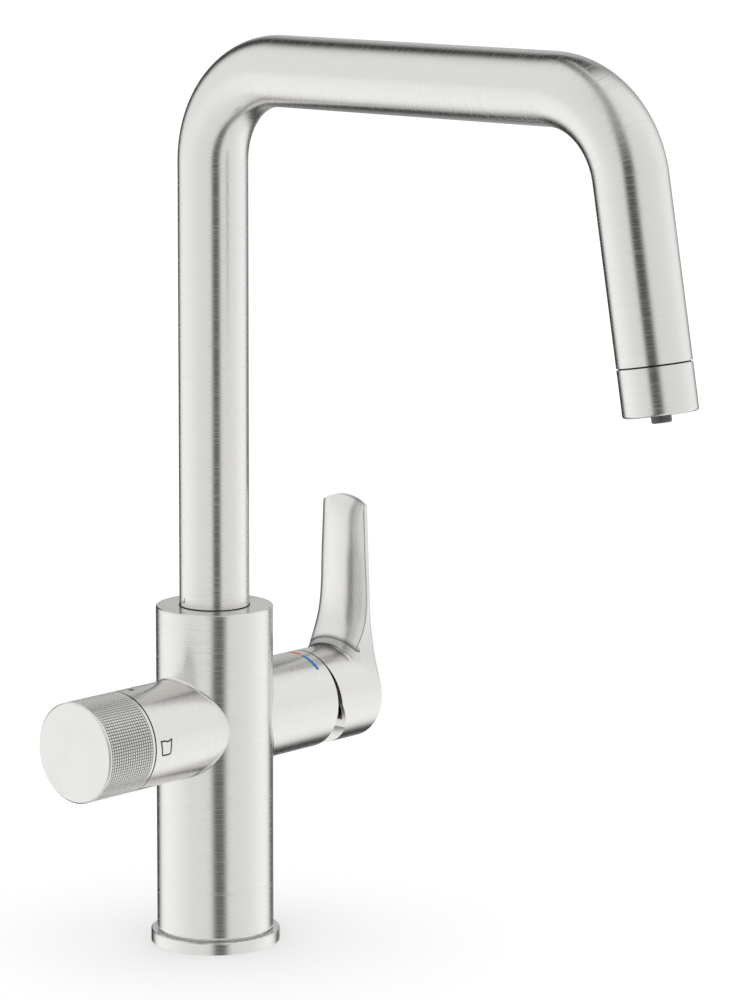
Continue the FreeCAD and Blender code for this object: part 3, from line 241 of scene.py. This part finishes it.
# Nitrile rubber, moulded: nearly black and matt
nitrile = moulded("moulded_nitrile_rubber", "#262625", "#161615", roughness=0.7,
                  grain=0.6 * MM, depth=0.02 * MM)
dress(nitrile, "base_gasket")

# Spout foot: a brass spigot soldered into the tube, turning in the column on two acetal glide rings and
# sealed by an O-ring. A steel stop screw from the back runs in its groove and holds it.
# Brass, turned: warm yellow with fine tool lines
BRASS_BRIGHT, BRASS_DULL = "#d9b673", "#b8924d"
BRASS_SMOOTH, BRASS_ROUGH = 0.2, 0.34


def turned_brass(name, axis, centre):
    return brushed_metal(name, round_axis(axis, centre), BRASS_BRIGHT, BRASS_DULL, BRASS_SMOOTH, BRASS_ROUGH)


upright_brass = turned_brass("turned_brass_upright", UPRIGHT, Vector())
# Acetal, moulded: milky white with a low gloss
acetal = moulded("moulded_white_acetal", "#eeede8", "#e2e1db", roughness=0.38,
                 grain=0.8 * MM, depth=0.01 * MM)
# Steel, ground: a colder and darker grey than the brushed body
PIN_BRIGHT, PIN_DULL = "#bdbdc0", "#a6a6aa"
PIN_SMOOTH, PIN_ROUGH = 0.22, 0.32
cross_steel = brushed_metal("ground_steel_pins", round_axis(LEVEL, BARREL_AXIS_POINT), PIN_BRIGHT, PIN_DULL,
                            PIN_SMOOTH, PIN_ROUGH)
dress(upright_brass, "spout_spigot")
dress(acetal, "spout_glide_ring_low", "spout_glide_ring_high")
dress(nitrile, "spout_o_ring")
dress(cross_steel, "spout_stop_screw")

# Spout tube: a drawn stainless tube, bent twice over a former, with a level run and a leg that leans out.
# Brushed round its own line before it was fitted, so the rings follow the bends.
TUBE_RADIUS = 14 * MM
TUBE_BORE = 12.5 * MM
RUN_HEIGHT = 353.3 * MM
BEND_RADIUS = 37.2 * MM
LEG_CORNER = 204.4 * MM
LEG_LEAN = math.radians(10)
LEG_LENGTH = 98.75 * MM
END_BREAK = 0.15 * MM
TUBE_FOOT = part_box("spout_tube")[0].z
TUBE_SIDES = 128
TUBE_CORNER = 40
BEND_STEPS = 64
LEG_DOWN = Vector((0, -math.sin(LEG_LEAN), -math.cos(LEG_LEAN)))
LEG_TOP = Vector((0, -LEG_CORNER, RUN_HEIGHT))


def new_piece(name, points, faces, material):
    """Makes an object of one mesh and one material."""
    mesh = bpy.data.meshes.new(name)
    mesh.from_pydata(points, [], faces)
    mesh.materials.append(material)
    piece = bpy.data.objects.new(name, mesh)
    bpy.context.scene.collection.objects.link(piece)
    return piece


def skin(name, rings, loop, material):
    """Joins rings of points into a mesh piece. A ring of one point is a pole, and a loop joins its ends."""
    starts, points = [], []
    for ring in rings:
        starts.append(len(points))
        points += ring
    pairs = list(zip(range(len(rings)), range(1, len(rings)))) + ([(len(rings) - 1, 0)] if loop else [])
    faces = []
    for a, b in pairs:
        count = max(len(rings[a]), len(rings[b]))
        for i in range(count):
            j = (i + 1) % count
            corners = [starts[a] + i % len(rings[a]), starts[a] + j % len(rings[a]),
                       starts[b] + j % len(rings[b]), starts[b] + i % len(rings[b])]
            faces.append(list(dict.fromkeys(corners)))
    return new_piece(name, points, faces, material)


def smooth_except_corners(piece, corner):
    """Shades a piece smooth, apart from edges that turn by more than the corner angle in degrees."""
    piece.data.shade_smooth()
    piece.data.set_sharp_from_angle(angle=math.radians(corner))


def spout_line():
    """The tube's centre line from its foot: each stop's place and direction."""
    tangent = BEND_RADIUS * math.tan((math.pi / 2 - LEG_LEAN) / 2)
    stops = [(Vector((0, 0, TUBE_FOOT)), UPRIGHT)]
    bends = (((-BEND_RADIUS, RUN_HEIGHT - BEND_RADIUS), 0, math.pi / 2),
             ((tangent - LEG_CORNER, RUN_HEIGHT - BEND_RADIUS), math.pi / 2, math.pi - LEG_LEAN))
    for (y, z), start, end in bends:
        for i in range(BEND_STEPS + 1):
            turn = start + (end - start) * i / BEND_STEPS
            out = Vector((0, math.cos(turn), math.sin(turn)))
            stops.append((Vector((0, y, z)) + BEND_RADIUS * out, Vector((0, -out.z, out.y))))
    stops.append((LEG_TOP + (LEG_LENGTH - END_BREAK) * LEG_DOWN, LEG_DOWN))
    return stops


def tube_ring(place, direction, radius):
    side = direction.cross(LEVEL)
    turns = [2 * math.pi * i / TUBE_SIDES for i in range(TUBE_SIDES)]
    return [place + radius * (math.cos(t) * LEVEL + math.sin(t) * side) for t in turns]


def brushed_along_attributes(tree, place):
    """Lines that follow a bent piece: its mesh carries the length along it and its direction."""
    return (add(tree, "ShaderNodeAttribute", {}, attribute_name="run_length").outputs["Fac"],
            add(tree, "ShaderNodeAttribute", {}, attribute_name="run_direction").outputs["Vector"])


stops = spout_line()
lengths = [0]
for (before, _), (after, _) in zip(stops, stops[1:]):
    lengths.append(lengths[-1] + (after - before).length)
walls = [(i, TUBE_RADIUS) for i in range(len(stops))] + [(i, TUBE_BORE) for i in reversed(range(len(stops)))]
tube = skin("spout_tube_brushed", [tube_ring(*stops[i], radius) for i, radius in walls], True,
            brushed_steel("brushed_stainless_steel_spout", brushed_along_attributes))
run_length = tube.data.attributes.new("run_length", "FLOAT", "POINT")
run_direction = tube.data.attributes.new("run_direction", "FLOAT_VECTOR", "POINT")
run_length.data.foreach_set("value", [lengths[i] for i, _ in walls for _ in range(TUBE_SIDES)])
directions = [stops[i][1] for i, _ in walls for _ in range(TUBE_SIDES)]
run_direction.data.foreach_set("vector", [part for direction in directions for part in direction])
smooth_except_corners(tube, TUBE_CORNER)
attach(tube, "spout")
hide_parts("spout_tube")

# Wiper lip: a thin nitrile ring in the column's mouth, which keeps dirt out of the swivel and shows as a fine
# dark line round the tube. It is pressed in and stays with the column.
LIP_GAP, LIP_WIDTH, LIP_RISE, LIP_DEPTH, LIP_ROUND = 0.03 * MM, 0.33 * MM, 0.32 * MM, 1.5 * MM, 0.12 * MM
LIP_CORNER = 50
lip_outline = ((LIP_GAP, -LIP_DEPTH), (LIP_GAP, LIP_RISE), (LIP_WIDTH - LIP_ROUND, LIP_RISE),
               (LIP_WIDTH, LIP_RISE - LIP_ROUND), (LIP_WIDTH, -LIP_DEPTH))
lip_rings = [tube_ring(Vector((0, 0, COLUMN_TOP + rise)), UPRIGHT, TUBE_RADIUS + out)
             for out, rise in lip_outline]
lip = skin("spout_wiper_lip", lip_rings, True, nitrile)
smooth_except_corners(lip, LIP_CORNER)
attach(lip, "column")

# Filtered water way: a brass stem screwed into the column's floor, sealed by a small O-ring, and a food-grade
# acetal hose through the spout to the nozzle, so filtered water never meets the mixed water.
dress(upright_brass, "filter_stem")
dress(nitrile, "stem_o_ring")
dress(acetal, "filtered_water_hose")

# Outlet: a turned stainless housing pushed into the leg's end on an O-ring, with a fine joint groove.
# It holds a moulded aerator insert on a gasket, and in its middle the dark nozzle for filtered water.
JOINT_GAP = 0.5 * MM
# The same steel with painted shade: dark in the joint groove and on the neck inside the tube
JOINT_SHADE = "#33332f"
outlet_steel = brushed_steel("brushed_stainless_steel_outlet", round_axis(LEG_DOWN, LEG_TOP))
tree = outlet_steel.node_tree
down = add(tree, "ShaderNodeVectorMath", {0: own_place(tree), 1: LEG_DOWN},
           operation="DOT_PRODUCT").outputs["Value"]
joint_end = LEG_TOP.dot(LEG_DOWN) + LEG_LENGTH + JOINT_GAP
shade(outlet_steel, calc(tree, "LESS_THAN", down, joint_end), JOINT_SHADE)
dress(outlet_steel, "outlet_housing")
dress(nitrile, "outlet_o_ring", "aerator_gasket")
# Glass-filled nylon, moulded: mid grey, matt, slightly speckled by the fibres
nylon = moulded("moulded_grey_nylon", "#7c7d7f", "#68696b", roughness=0.55,
                grain=0.5 * MM, depth=0.02 * MM)
# Dark acetal, turned from bar: charcoal grey with a satin face
dark_acetal = moulded("turned_dark_acetal", "#545452", "#484846", roughness=0.3,
                      grain=0.4 * MM, depth=0.004 * MM)
dress(nylon, "aerator_insert")
dress(dark_acetal, "filtered_nozzle")

# Filter valve: two lapped ceramic discs in a moulded shell, a brass spindle and nut, all in the left barrel.
# It opens and shuts the filtered water with a quarter turn.
level_brass = turned_brass("turned_brass_level", LEVEL, BARREL_AXIS_POINT)
# Alumina, fired and lapped: ivory white with a soft shine
alumina = moulded("lapped_alumina_ceramic", "#f1eee6", "#e6e2d8", roughness=0.22,
                  grain=0.3 * MM, depth=0.002 * MM)
dress(alumina, "filter_fixed_disc", "filter_turning_disc")
dress(nylon, "filter_valve_shell")
dress(level_brass, "filter_spindle", "filter_nut")
dress(nitrile, "filter_port_seal", "filter_spindle_o_ring")
dress(acetal, "filter_thrust_washer")

# Filter knob: a turned stainless cup with a knurled grip, snapped on the spindle by an acetal insert.
# The grip is rolled in a square grid of small studs, between two plain rings.
KNOB_START, KNOB_END = 53.65 * MM, 78.75 * MM
KNOB_RADIUS = 20 * MM
KNOB_EDGE = 0.6 * MM
KNOB_BACK_EDGE = 0.3 * MM
KNOB_BORE = 17.5 * MM
KNOB_FACE = 3.2 * MM
BOSS_RADIUS, BOSS_BORE, BOSS_START = 9 * MM, 6.5 * MM, 61 * MM
GRIP_START, GRIP_END = 55.25 * MM, 77.3 * MM
STUD_ROWS, STUDS_ROUND = 18, 104
STUD_STEPS = (0, 0.24, 0.76)
GROOVE_DEPTH = 0.28 * MM
# The plain rings start this share of a stud's pitch beyond the grip, and the face has rings at these shares
GRIP_RUNOUT, FACE_RINGS = 0.2, (0, 0.4, 0.8, 1)
KNOB_SIDES = STUDS_ROUND * len(STUD_STEPS)
KNOB_CORNER = 20


def in_groove(grooved, i):
    """Whether a point of a ring lies in a groove: all points do, only those between two studs, or none."""
    return grooved == "all" or (grooved == "between" and i % len(STUD_STEPS) == 0)


def knob_ring(reach, radius, grooved):
    """One ring of the knob at a reach out of the column; a grooved ring dips between its studs."""
    ring = []
    for i in range(KNOB_SIDES):
        turn = 2 * math.pi * (i // len(STUD_STEPS) + STUD_STEPS[i % len(STUD_STEPS)]) / STUDS_ROUND
        low = radius - GROOVE_DEPTH if in_groove(grooved, i) else radius
        ring.append(Vector((-reach, low * math.sin(turn), BARREL_HEIGHT + low * math.cos(turn))))
    return ring


def knob_profile():
    """Reach, radius and groove of each ring, from the face's middle, over the grip, to the boss inside."""
    pitch = (GRIP_END - GRIP_START) / STUD_ROWS
    profile = [(KNOB_END, r * (KNOB_RADIUS - KNOB_EDGE), "") for r in FACE_RINGS]
    profile += [(KNOB_END - KNOB_EDGE, KNOB_RADIUS, ""), (GRIP_END + GRIP_RUNOUT * pitch, KNOB_RADIUS, "")]
    for row in range(STUD_ROWS):
        profile += [(GRIP_END - (row + step) * pitch, KNOB_RADIUS, "between" if step else "all")
                    for step in STUD_STEPS]
    profile += [(GRIP_START, KNOB_RADIUS, "all"), (GRIP_START - GRIP_RUNOUT * pitch, KNOB_RADIUS, "")]
    inside = KNOB_END - KNOB_FACE
    cup = [(KNOB_START + KNOB_BACK_EDGE, KNOB_RADIUS), (KNOB_START, KNOB_RADIUS - KNOB_BACK_EDGE),
           (KNOB_START, KNOB_BORE), (inside, KNOB_BORE), (inside, BOSS_RADIUS), (BOSS_START, BOSS_RADIUS),
           (BOSS_START, BOSS_BORE), (inside, BOSS_BORE), (inside, 0)]
    return profile + [(reach, radius, "") for reach, radius in cup]


profile = knob_profile()
knob_rings = [knob_ring(*stop) if stop[1] else [Vector((-stop[0], 0, BARREL_HEIGHT))] for stop in profile]
level_steel = brushed_steel("brushed_stainless_steel_level", round_axis(LEVEL, BARREL_AXIS_POINT))
# The same steel, knurled, with painted shade that darkens the rolled grooves between the studs
KNURL_GROOVE_SHADE = "#7d7c76"
knurled_steel = brushed_steel("knurled_stainless_steel", round_axis(LEVEL, BARREL_AXIS_POINT))
grooved = add(knurled_steel.node_tree, "ShaderNodeAttribute", {}, attribute_name="groove").outputs["Fac"]
shade(knurled_steel, grooved, KNURL_GROOVE_SHADE)
knob = skin("filter_knob_knurled", knob_rings, False, knurled_steel)
groove = knob.data.attributes.new("groove", "FLOAT", "POINT")
groove.data.foreach_set("value", [float(in_groove(stop[2], i)) for stop, ring in zip(profile, knob_rings)
                                  for i in range(len(ring))])
smooth_except_corners(knob, KNOB_CORNER)
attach(knob, "filter_handle")
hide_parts("filter_knob")
dress(acetal, "knob_insert")
dress(dark_acetal, "knob_glide_ring")

# Mixer valve: a ceramic cartridge in the right barrel, held by a brass nut under a steel cover ring.
# Its rotor carries the lever's pin, which turns the moving disc for heat and slides it for flow.
dress(alumina, "mixer_fixed_disc", "mixer_moving_disc")
dress(nylon, "mixer_valve_base", "mixer_valve_shell")
dress(acetal, "mixer_rotor")
dress(nitrile, "mixer_port_seal")
dress(level_brass, "mixer_nut")
dress(cross_steel, "lever_pivot_pin", "lever_pin")
dress(level_steel, "mixer_cover_ring")

# Lever: a stainless casting, a round hub that runs up into a slim blade, ground and brushed by hand.
# A set screw under a small plug holds it on the lever pin.
LEVER_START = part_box("lever")[0].x
MOUTH_RADIUS, MOUTH_DEPTH = 18.1 * MM, 5.6 * MM
LEVER_SMOOTH, LEVER_ROUGH = 0.22, 0.3
# The same steel with painted shade inside the hub's mouth: nearly black, and lighter low down
MOUTH_SHADE, MOUTH_SHADE_FADE, MOUTH_SHADE_LEAST = "#151514", (-7.4 * MM, -3 * MM), 0.3
lever_steel = brushed_metal("satin_stainless_steel_lever", round_axis(LEVEL, BARREL_AXIS_POINT), STEEL_BRIGHT,
                            STEEL_DULL, LEVER_SMOOTH, LEVER_ROUGH)
tree = lever_steel.node_tree
place = own_place(tree)
across = add(tree, "ShaderNodeSeparateXYZ", {"Vector": place}).outputs["X"]
aside = add(tree, "ShaderNodeVectorMath", {0: place, 1: (0, 1, 1), 2: -BARREL_AXIS_POINT},
            operation="MULTIPLY_ADD").outputs[0]
offset = add(tree, "ShaderNodeSeparateXYZ", {"Vector": aside}).outputs
reach = add(tree, "ShaderNodeVectorMath", {0: aside}, operation="LENGTH").outputs["Value"]
inside = calc(tree, "LESS_THAN", reach, MOUTH_RADIUS)
shallow = calc(tree, "LESS_THAN", across, LEVER_START + MOUTH_DEPTH)
mouth_shade_share = fade(tree, offset["Z"], *MOUTH_SHADE_FADE, MOUTH_SHADE_LEAST, 1)
shade(lever_steel, all_of(tree, inside, shallow, mouth_shade_share), MOUTH_SHADE)
# A line of painted shade in the crease where the blade's face ends above the hub
CREASE_RADIUS, CREASE_WIDTH, CREASE_REACH = 22.6 * MM, 2 * MM, 19.6 * MM
CREASE_SHADE, CREASE_SHARE = "#55544f", 0.9
beyond = calc(tree, "GREATER_THAN", reach, CREASE_RADIUS)
inner = calc(tree, "LESS_THAN", across, LEVER_START + CREASE_REACH)
fading = fade(tree, reach, CREASE_RADIUS, CREASE_RADIUS + CREASE_WIDTH, CREASE_SHARE, 0)
shade(lever_steel, all_of(tree, beyond, inner, fading), CREASE_SHADE)
# Painted shade on the saddle between that line and the hub too, most of all on top
SADDLE_LOW, SADDLE_FADE, SADDLE_SHARE = 20.2 * MM, (-15 * MM, -4 * MM), 0.5
below_crease = calc(tree, "SUBTRACT", calc(tree, "GREATER_THAN", reach, SADDLE_LOW), beyond)
towards_top = fade(tree, offset["Y"], *SADDLE_FADE, 0, SADDLE_SHARE)
shade(lever_steel, all_of(tree, below_crease, inner, towards_top), CREASE_SHADE)
# A painted dark reflection along the blade's edge away from the spout
BLADE_EDGE, BLADE_TAPER, BLADE_SHARE = (12.2 * MM, 13.8 * MM), 0.043, 0.9
BLADE_FRONT, BLADE_FOOT, BLADE_DARK_REFLECTION = 77.2 * MM, 21 * MM, "#33322f"
aslant = calc(tree, "MULTIPLY_ADD", offset["Z"], BLADE_TAPER, offset["Y"])
edging = fade(tree, aslant, *BLADE_EDGE, 0, BLADE_SHARE)
front = calc(tree, "LESS_THAN", across, BLADE_FRONT)
on_blade = calc(tree, "GREATER_THAN", offset["Z"], BLADE_FOOT)
shade(lever_steel, all_of(tree, edging, front, on_blade), BLADE_DARK_REFLECTION)
dress(lever_steel, "lever")
dress(cross_steel, "lever_set_screw")
dress(nylon, "lever_plug")

# Marks on the barrels: a red and a blue stripe beside the lever for hot and cold, and on the filter side an
# index dot and a small tumbler. They are cut shallow and filled with enamel, level with the steel.
MARK_SINK, MARK_PROUD = 0.2 * MM, 0.02 * MM
MARK_CORNER = 30
STRIPE_START, STRIPE_END = 46.2 * MM, 47.7 * MM
STRIPE_STEP = math.radians(2)
HOT_FROM, HOT_TO = math.radians(-9), math.radians(9.8)
COLD_FROM, COLD_TO = math.radians(13.5), math.radians(41.8)


def on_barrel(x, turn, lift):
    """A place on a barrel's skin: how far across, how far round from its top to the front, and how high."""
    radius = BARREL_RADIUS + lift
    return Vector((x, -radius * math.sin(turn), BARREL_HEIGHT + radius * math.cos(turn)))


def top_on(flat, lift):
    """A place on a barrel's skin from a flat one that is laid on its top."""
    return on_barrel(flat.x, flat.y / BARREL_RADIUS, lift)


def stroke(line, width, lay):
    """Rings of four corners along a flat line, which lay puts on a skin, closed at both ends."""
    rings = []
    for i, here in enumerate(line):
        before, after = line[max(i - 1, 0)], line[min(i + 1, len(line) - 1)]
        aside = (after - before).normalized().orthogonal() * width / 2
        corners = ((here + aside, MARK_PROUD), (here - aside, MARK_PROUD),
                   (here - aside, -MARK_SINK), (here + aside, -MARK_SINK))
        rings.append([lay(flat, lift) for flat, lift in corners])
    ends = [[sum(ring, Vector()) / len(ring)] for ring in (rings[0], rings[-1])]
    return [ends[0]] + rings + [ends[1]]


# Enamel, stoved: clean colour with a low gloss
ENAMEL = {"grain": 0.3 * MM, "depth": 0.004 * MM}
hot_enamel = moulded("stoved_red_enamel", "#ee4a14", "#e64410", roughness=0.8, **ENAMEL)
cold_enamel = moulded("stoved_blue_enamel", "#0078ba", "#0071b1", roughness=0.8, **ENAMEL)
grey_enamel = moulded("stoved_grey_enamel", "#4a4a47", "#404040", roughness=0.75, **ENAMEL)
for name, start, end, enamel in (("hot_mark", HOT_FROM, HOT_TO, hot_enamel),
                                 ("cold_mark", COLD_FROM, COLD_TO, cold_enamel)):
    steps = max(2, round((end - start) / STRIPE_STEP))
    middle = (STRIPE_START + STRIPE_END) / 2
    arc = [Vector((middle, (start + (end - start) * i / steps) * BARREL_RADIUS)) for i in range(steps + 1)]
    stripe = skin(name, stroke(arc, STRIPE_END - STRIPE_START, top_on), False, enamel)
    smooth_except_corners(stripe, MARK_CORNER)
    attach(stripe, "column")

DOT_X, DOT_RADIUS, DOT_SIDES = -47.2 * MM, 1.25 * MM, 32
rim = [Vector((math.cos(2 * math.pi * i / DOT_SIDES), math.sin(2 * math.pi * i / DOT_SIDES)))
       for i in range(DOT_SIDES)]
dot_middle = Vector((DOT_X, 0))
dot_outline = ((0, MARK_PROUD), (DOT_RADIUS / 2, MARK_PROUD), (DOT_RADIUS, MARK_PROUD),
               (DOT_RADIUS, -MARK_SINK), (0, -MARK_SINK))
dot_rings = [[top_on(dot_middle + radius * flat, lift) for flat in (rim if radius else rim[:1])]
             for radius, lift in dot_outline]
dot = skin("index_dot", dot_rings, False, grey_enamel)
smooth_except_corners(dot, MARK_CORNER)

# The tumbler's glass and its water line, as x and height from the middle of the mark, in millimetres
TUMBLER_X, TUMBLER_RISE = -47.7, 0.1
LINE_WIDTH, LINE_STEP = 0.7 * MM, 0.4 * MM
GLASS = ((-2.95, 3.1), (-2.65, 1.2), (-2.3, -2.3), (-2.2, -2.75), (-1.75, -3.0), (-0.6, -3.05), (0.6, -3.05),
         (1.75, -3.0), (2.2, -2.75), (2.3, -2.3), (2.65, 1.2), (2.95, 3.1))
WATER = ((-2.75, 2.3), (-2.2, 2.62), (-1.5, 2.78), (-0.8, 2.62), (0, 2.35), (0.7, 2.2), (1.4, 2.3),
         (2.1, 2.6), (2.75, 2.85))


def face_on(flat, lift):
    """A place on the left barrel's front, which faces along the spout."""
    return on_barrel(flat.x, math.pi / 2 - flat.y / BARREL_RADIUS, lift)


marks = [dot]
for name, shape in (("tumbler_glass", GLASS), ("tumbler_water_line", WATER)):
    corners = [Vector(((TUMBLER_X + x) * MM, (z + TUMBLER_RISE) * MM)) for x, z in shape]
    path = corners[:1]
    for start, end in zip(corners, corners[1:]):
        steps = math.ceil((end - start).length / LINE_STEP)
        path += [start.lerp(end, (i + 1) / steps) for i in range(steps)]
    marks.append(skin(name, stroke(path, LINE_WIDTH, face_on), False, grey_enamel))
for mark in marks:
    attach(mark, "column")

# Tick on the tube's foot: a small engraved corner, filled like the other marks, which goes round with the
# spout and shows the fitter where the stop is.
TICK_TURN, TICK_HEIGHT, TICK_WIDTH = math.radians(166), 139.9 * MM, 0.4 * MM
TICK = ((-1.5, 0), (-1, 0), (-0.5, 0), (0, 0), (0, 0.6), (0, 1.2), (0, 1.7))


def on_tube(flat, lift):
    """A place on the upright tube's skin: how far round from the tick, and how high."""
    turn = TICK_TURN + flat.x / TUBE_RADIUS
    radius = TUBE_RADIUS + lift
    return Vector((radius * math.cos(turn), radius * math.sin(turn), TICK_HEIGHT + flat.y))


tick_line = [Vector((x, z)) * MM for x, z in TICK]
tick = skin("swivel_tick", stroke(tick_line, TICK_WIDTH, on_tube), False, grey_enamel)
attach(tick, "spout")

# Stage: a plain white floor and even white light from all round, as in a product photographer's light tent.
# The tent and a dark card near the camera show only in the metal. The card and two gaps in the tent's wall
# draw the dark bands down the steel.
WORLD_STRENGTH = 1.07
FLOOR_HALF = 20
CAMERA_PLACE = Vector((-1.16363, -1.12462, 0.46462))
TENT_RADIUS, TENT_LOW, TENT_HIGH = 4, -7, 8
TENT_SIDES = 96
# Degrees round from the camera, to the right in the picture, and how bright the tent is there: overhead,
# high up, about level with the tap, and low down
TENT_WALL = (
    (-180, 0.02, 0.65, 0.25, 0.45), (-176, 0.02, 0.5, 0.04, 0.36), (-171, 0.02, 0.36, 0.02, 0.24),
    (-166, 0.02, 0.14, 0.02, 0.13), (-160, 0.02, 0.02, 0.02, 0.04), (-151, 0.05, 0.02, 0.02, 0.04),
    (-143, 0.25, 0.26, 0.35, 0.34), (-134, 0.6, 0.9, 1.0, 0.95), (-120, 0.9, 0.99, 1.2, 1.2),
    (-100, 0.95, 0.99, 1.18, 1.18), (-80, 0.98, 0.98, 1.1, 1.1), (-48, 0.94, 0.92, 0.95, 0.95),
    (0, 0.9, 0.9, 0.92, 0.92), (48, 0.98, 0.92, 0.92, 0.92), (72, 1.02, 0.96, 0.98, 0.98),
    (96, 1.03, 1.05, 1.13, 1.13), (110, 1.03, 1.08, 1.21, 1.21), (122, 1.0, 1.04, 1.15, 1.13),
    (130, 0.97, 0.98, 0.95, 0.98), (140, 0.85, 0.75, 0.2, 0.36), (148, 0.5, 0.5, 0.13, 0.05),
    (154, 0.16, 0.36, 0.08, 0.02), (160, 0.05, 0.36, 0.27, 0.03), (166, 0.02, 0.48, 0.38, 0.12),
    (172, 0.02, 0.6, 0.45, 0.28), (180, 0.02, 0.65, 0.5, 0.45))
# Heights on the wall where each level has faded into the next, in metres. The lowest part and the base are
# as dark at the back as the roof is.
OVER_FADE, LEVEL_FADE, LOW_FADE, BASE_FADE = (3.3, 4.6), (-0.5, 0.5), (-1.9, -1.1), (-3.4, -5)
# The card stands in front of the tap and is bent over it and under it: how far out and how high its folds are
CARD_TURN, CARD_HALF, CARD_SOFT, CARD_EDGE = math.radians(8.5), 0.17, 0.35, 0.92
CARD_FOLDS = ((-0.35, -0.75), (0.35, -0.65), (0.52, -0.35), (0.52, 0.95), (0.3, 1.25), (-0.45, 1.35))
# The card's grey at its low end, then between which heights it changes and to which grey
CARD_LOW_GREY = 0.3
CARD_GREYS = ((-0.65, -0.35, 0.13), (0.24, 0.36, 0.05), (0.37, 0.64, 0.4), (1.25, 1.35, 0.1))

scene = bpy.context.scene
scene.view_settings.view_transform = "Standard"
world = bpy.data.worlds.new("white_studio")
world.use_nodes = True
world.node_tree.nodes["Background"].inputs["Color"].default_value = (1, 1, 1, 1)
world.node_tree.nodes["Background"].inputs["Strength"].default_value = WORLD_STRENGTH
scene.world = world

# Paper, uncoated: plain white without any shine
floor_material, _, floor_shader, _ = new_material("white_paper_floor", 0)
floor_shader.inputs["Base Color"].default_value = (1, 1, 1, 1)
floor_shader.inputs["Roughness"].default_value = 1
floor_shader.inputs["Specular IOR Level"].default_value = 0
floor_corners = [(x * FLOOR_HALF, y * FLOOR_HALF, 0) for x, y in ((-1, -1), (1, -1), (1, 1), (-1, 1))]
floor = new_piece("floor", floor_corners, [(0, 1, 2, 3)], floor_material)
floor.visible_glossy = False


def glowing(name, paint):
    """A material that only shines, in the tone that paint gives for each place."""
    material = bpy.data.materials.new(name)
    material.use_nodes = True
    tree = material.node_tree
    tree.nodes.clear()
    glow = add(tree, "ShaderNodeEmission", {"Color": paint(tree, own_place(tree))}).outputs[0]
    add(tree, "ShaderNodeOutputMaterial", {"Surface": glow})
    material.cycles.emission_sampling = "NONE"
    return material


def cloth_tone(tree, place):
    """White cloth, lit unevenly: each level's tones round the tent, one level fading into the next."""
    round_tent = add(tree, "ShaderNodeTexGradient", {"Vector": place}, gradient_type="RADIAL").outputs["Fac"]
    levels = []
    for column in range(1, len(TENT_WALL[0])):
        ramp = add(tree, "ShaderNodeValToRGB", {"Fac": round_tent})
        tones = ramp.color_ramp.elements
        for row in TENT_WALL:
            position = 0.5 + row[0] / 360
            tone = tones[0] if position == 0 else tones[-1] if position == 1 else tones.new(position)
            tone.color = (row[column],) * 3 + (1,)
        levels.append(ramp.outputs["Color"])
    overhead, high, level, mixed = levels
    height = add(tree, "ShaderNodeSeparateXYZ", {"Vector": place}).outputs["Z"]
    for heights, upper in ((LOW_FADE, level), (LEVEL_FADE, high), (OVER_FADE, overhead)):
        mixed = blend(tree, fade(tree, height, *heights), mixed, upper)
    return blend(tree, fade(tree, height, *BASE_FADE), mixed, overhead, blend_type="DARKEN")


def card_tone(tree, place):
    """Grey card: a tone that changes with the height, and soft pale edges."""
    parts = add(tree, "ShaderNodeSeparateXYZ", {"Vector": place}).outputs
    middle = CARD_LOW_GREY
    for low, high, tone in CARD_GREYS:
        middle = fade(tree, parts["Z"], low, high, middle, tone)
    return fade(tree, calc(tree, "ABSOLUTE", parts["Y"]), CARD_SOFT * CARD_HALF, CARD_HALF, middle, CARD_EDGE,
                interpolation_type="SMOOTHSTEP")


turns = [2 * math.pi * i / TENT_SIDES for i in range(TENT_SIDES)]
tent_wall = [[Vector((TENT_RADIUS * math.cos(t), TENT_RADIUS * math.sin(t), z)) for t in turns]
             for z in (TENT_LOW, TENT_HIGH)]
tent = skin("light_tent", [[Vector((0, 0, TENT_LOW))]] + tent_wall + [[Vector((0, 0, TENT_HIGH))]], False,
            glowing("tent_wall", cloth_tone))
tent.rotation_euler.z = math.atan2(CAMERA_PLACE.y, CAMERA_PLACE.x)
card = new_piece("dark_card", [(x, side * CARD_HALF, z) for x, z in CARD_FOLDS for side in (-1, 1)],
                 [(i, i + 1, i + 3, i + 2) for i in range(0, 2 * len(CARD_FOLDS) - 2, 2)],
                 glowing("grey_card", card_tone))
card.rotation_euler.z = tent.rotation_euler.z + CARD_TURN
for prop in (tent, card):
    for seen_by in ("camera", "diffuse", "transmission", "volume_scatter", "shadow"):
        setattr(prop, "visible_" + seen_by, False)

# Camera: a long lens that looks in between the left barrel and the spout, from a little higher than the tap
# and slightly down. The picture is shifted rather than tilted further, so uprights stay nearly upright.
CAMERA_AZIMUTH, CAMERA_ELEVATION, CAMERA_ROLL = (math.radians(a) for a in (41.813, -7.884, 0.103))
CAMERA_LENS, CAMERA_SENSOR, CAMERA_SHIFT, CAMERA_FAR = 147.779, 36, -0.15, 100
camera_data = bpy.data.cameras.new("camera")
camera_data.sensor_width = camera_data.sensor_height = CAMERA_SENSOR
camera_data.lens = CAMERA_LENS
camera_data.shift_y = CAMERA_SHIFT
camera_data.clip_end = CAMERA_FAR
camera = bpy.data.objects.new("camera", camera_data)
scene.collection.objects.link(camera)
ahead = Vector((math.cos(CAMERA_ELEVATION) * math.cos(CAMERA_AZIMUTH),
                math.cos(CAMERA_ELEVATION) * math.sin(CAMERA_AZIMUTH), math.sin(CAMERA_ELEVATION)))
turned = ahead.to_track_quat("-Z", "Y").to_matrix() @ Matrix.Rotation(CAMERA_ROLL, 3, "Z")
camera.matrix_world = Matrix.Translation(CAMERA_PLACE) @ turned.to_4x4()
scene.camera = camera
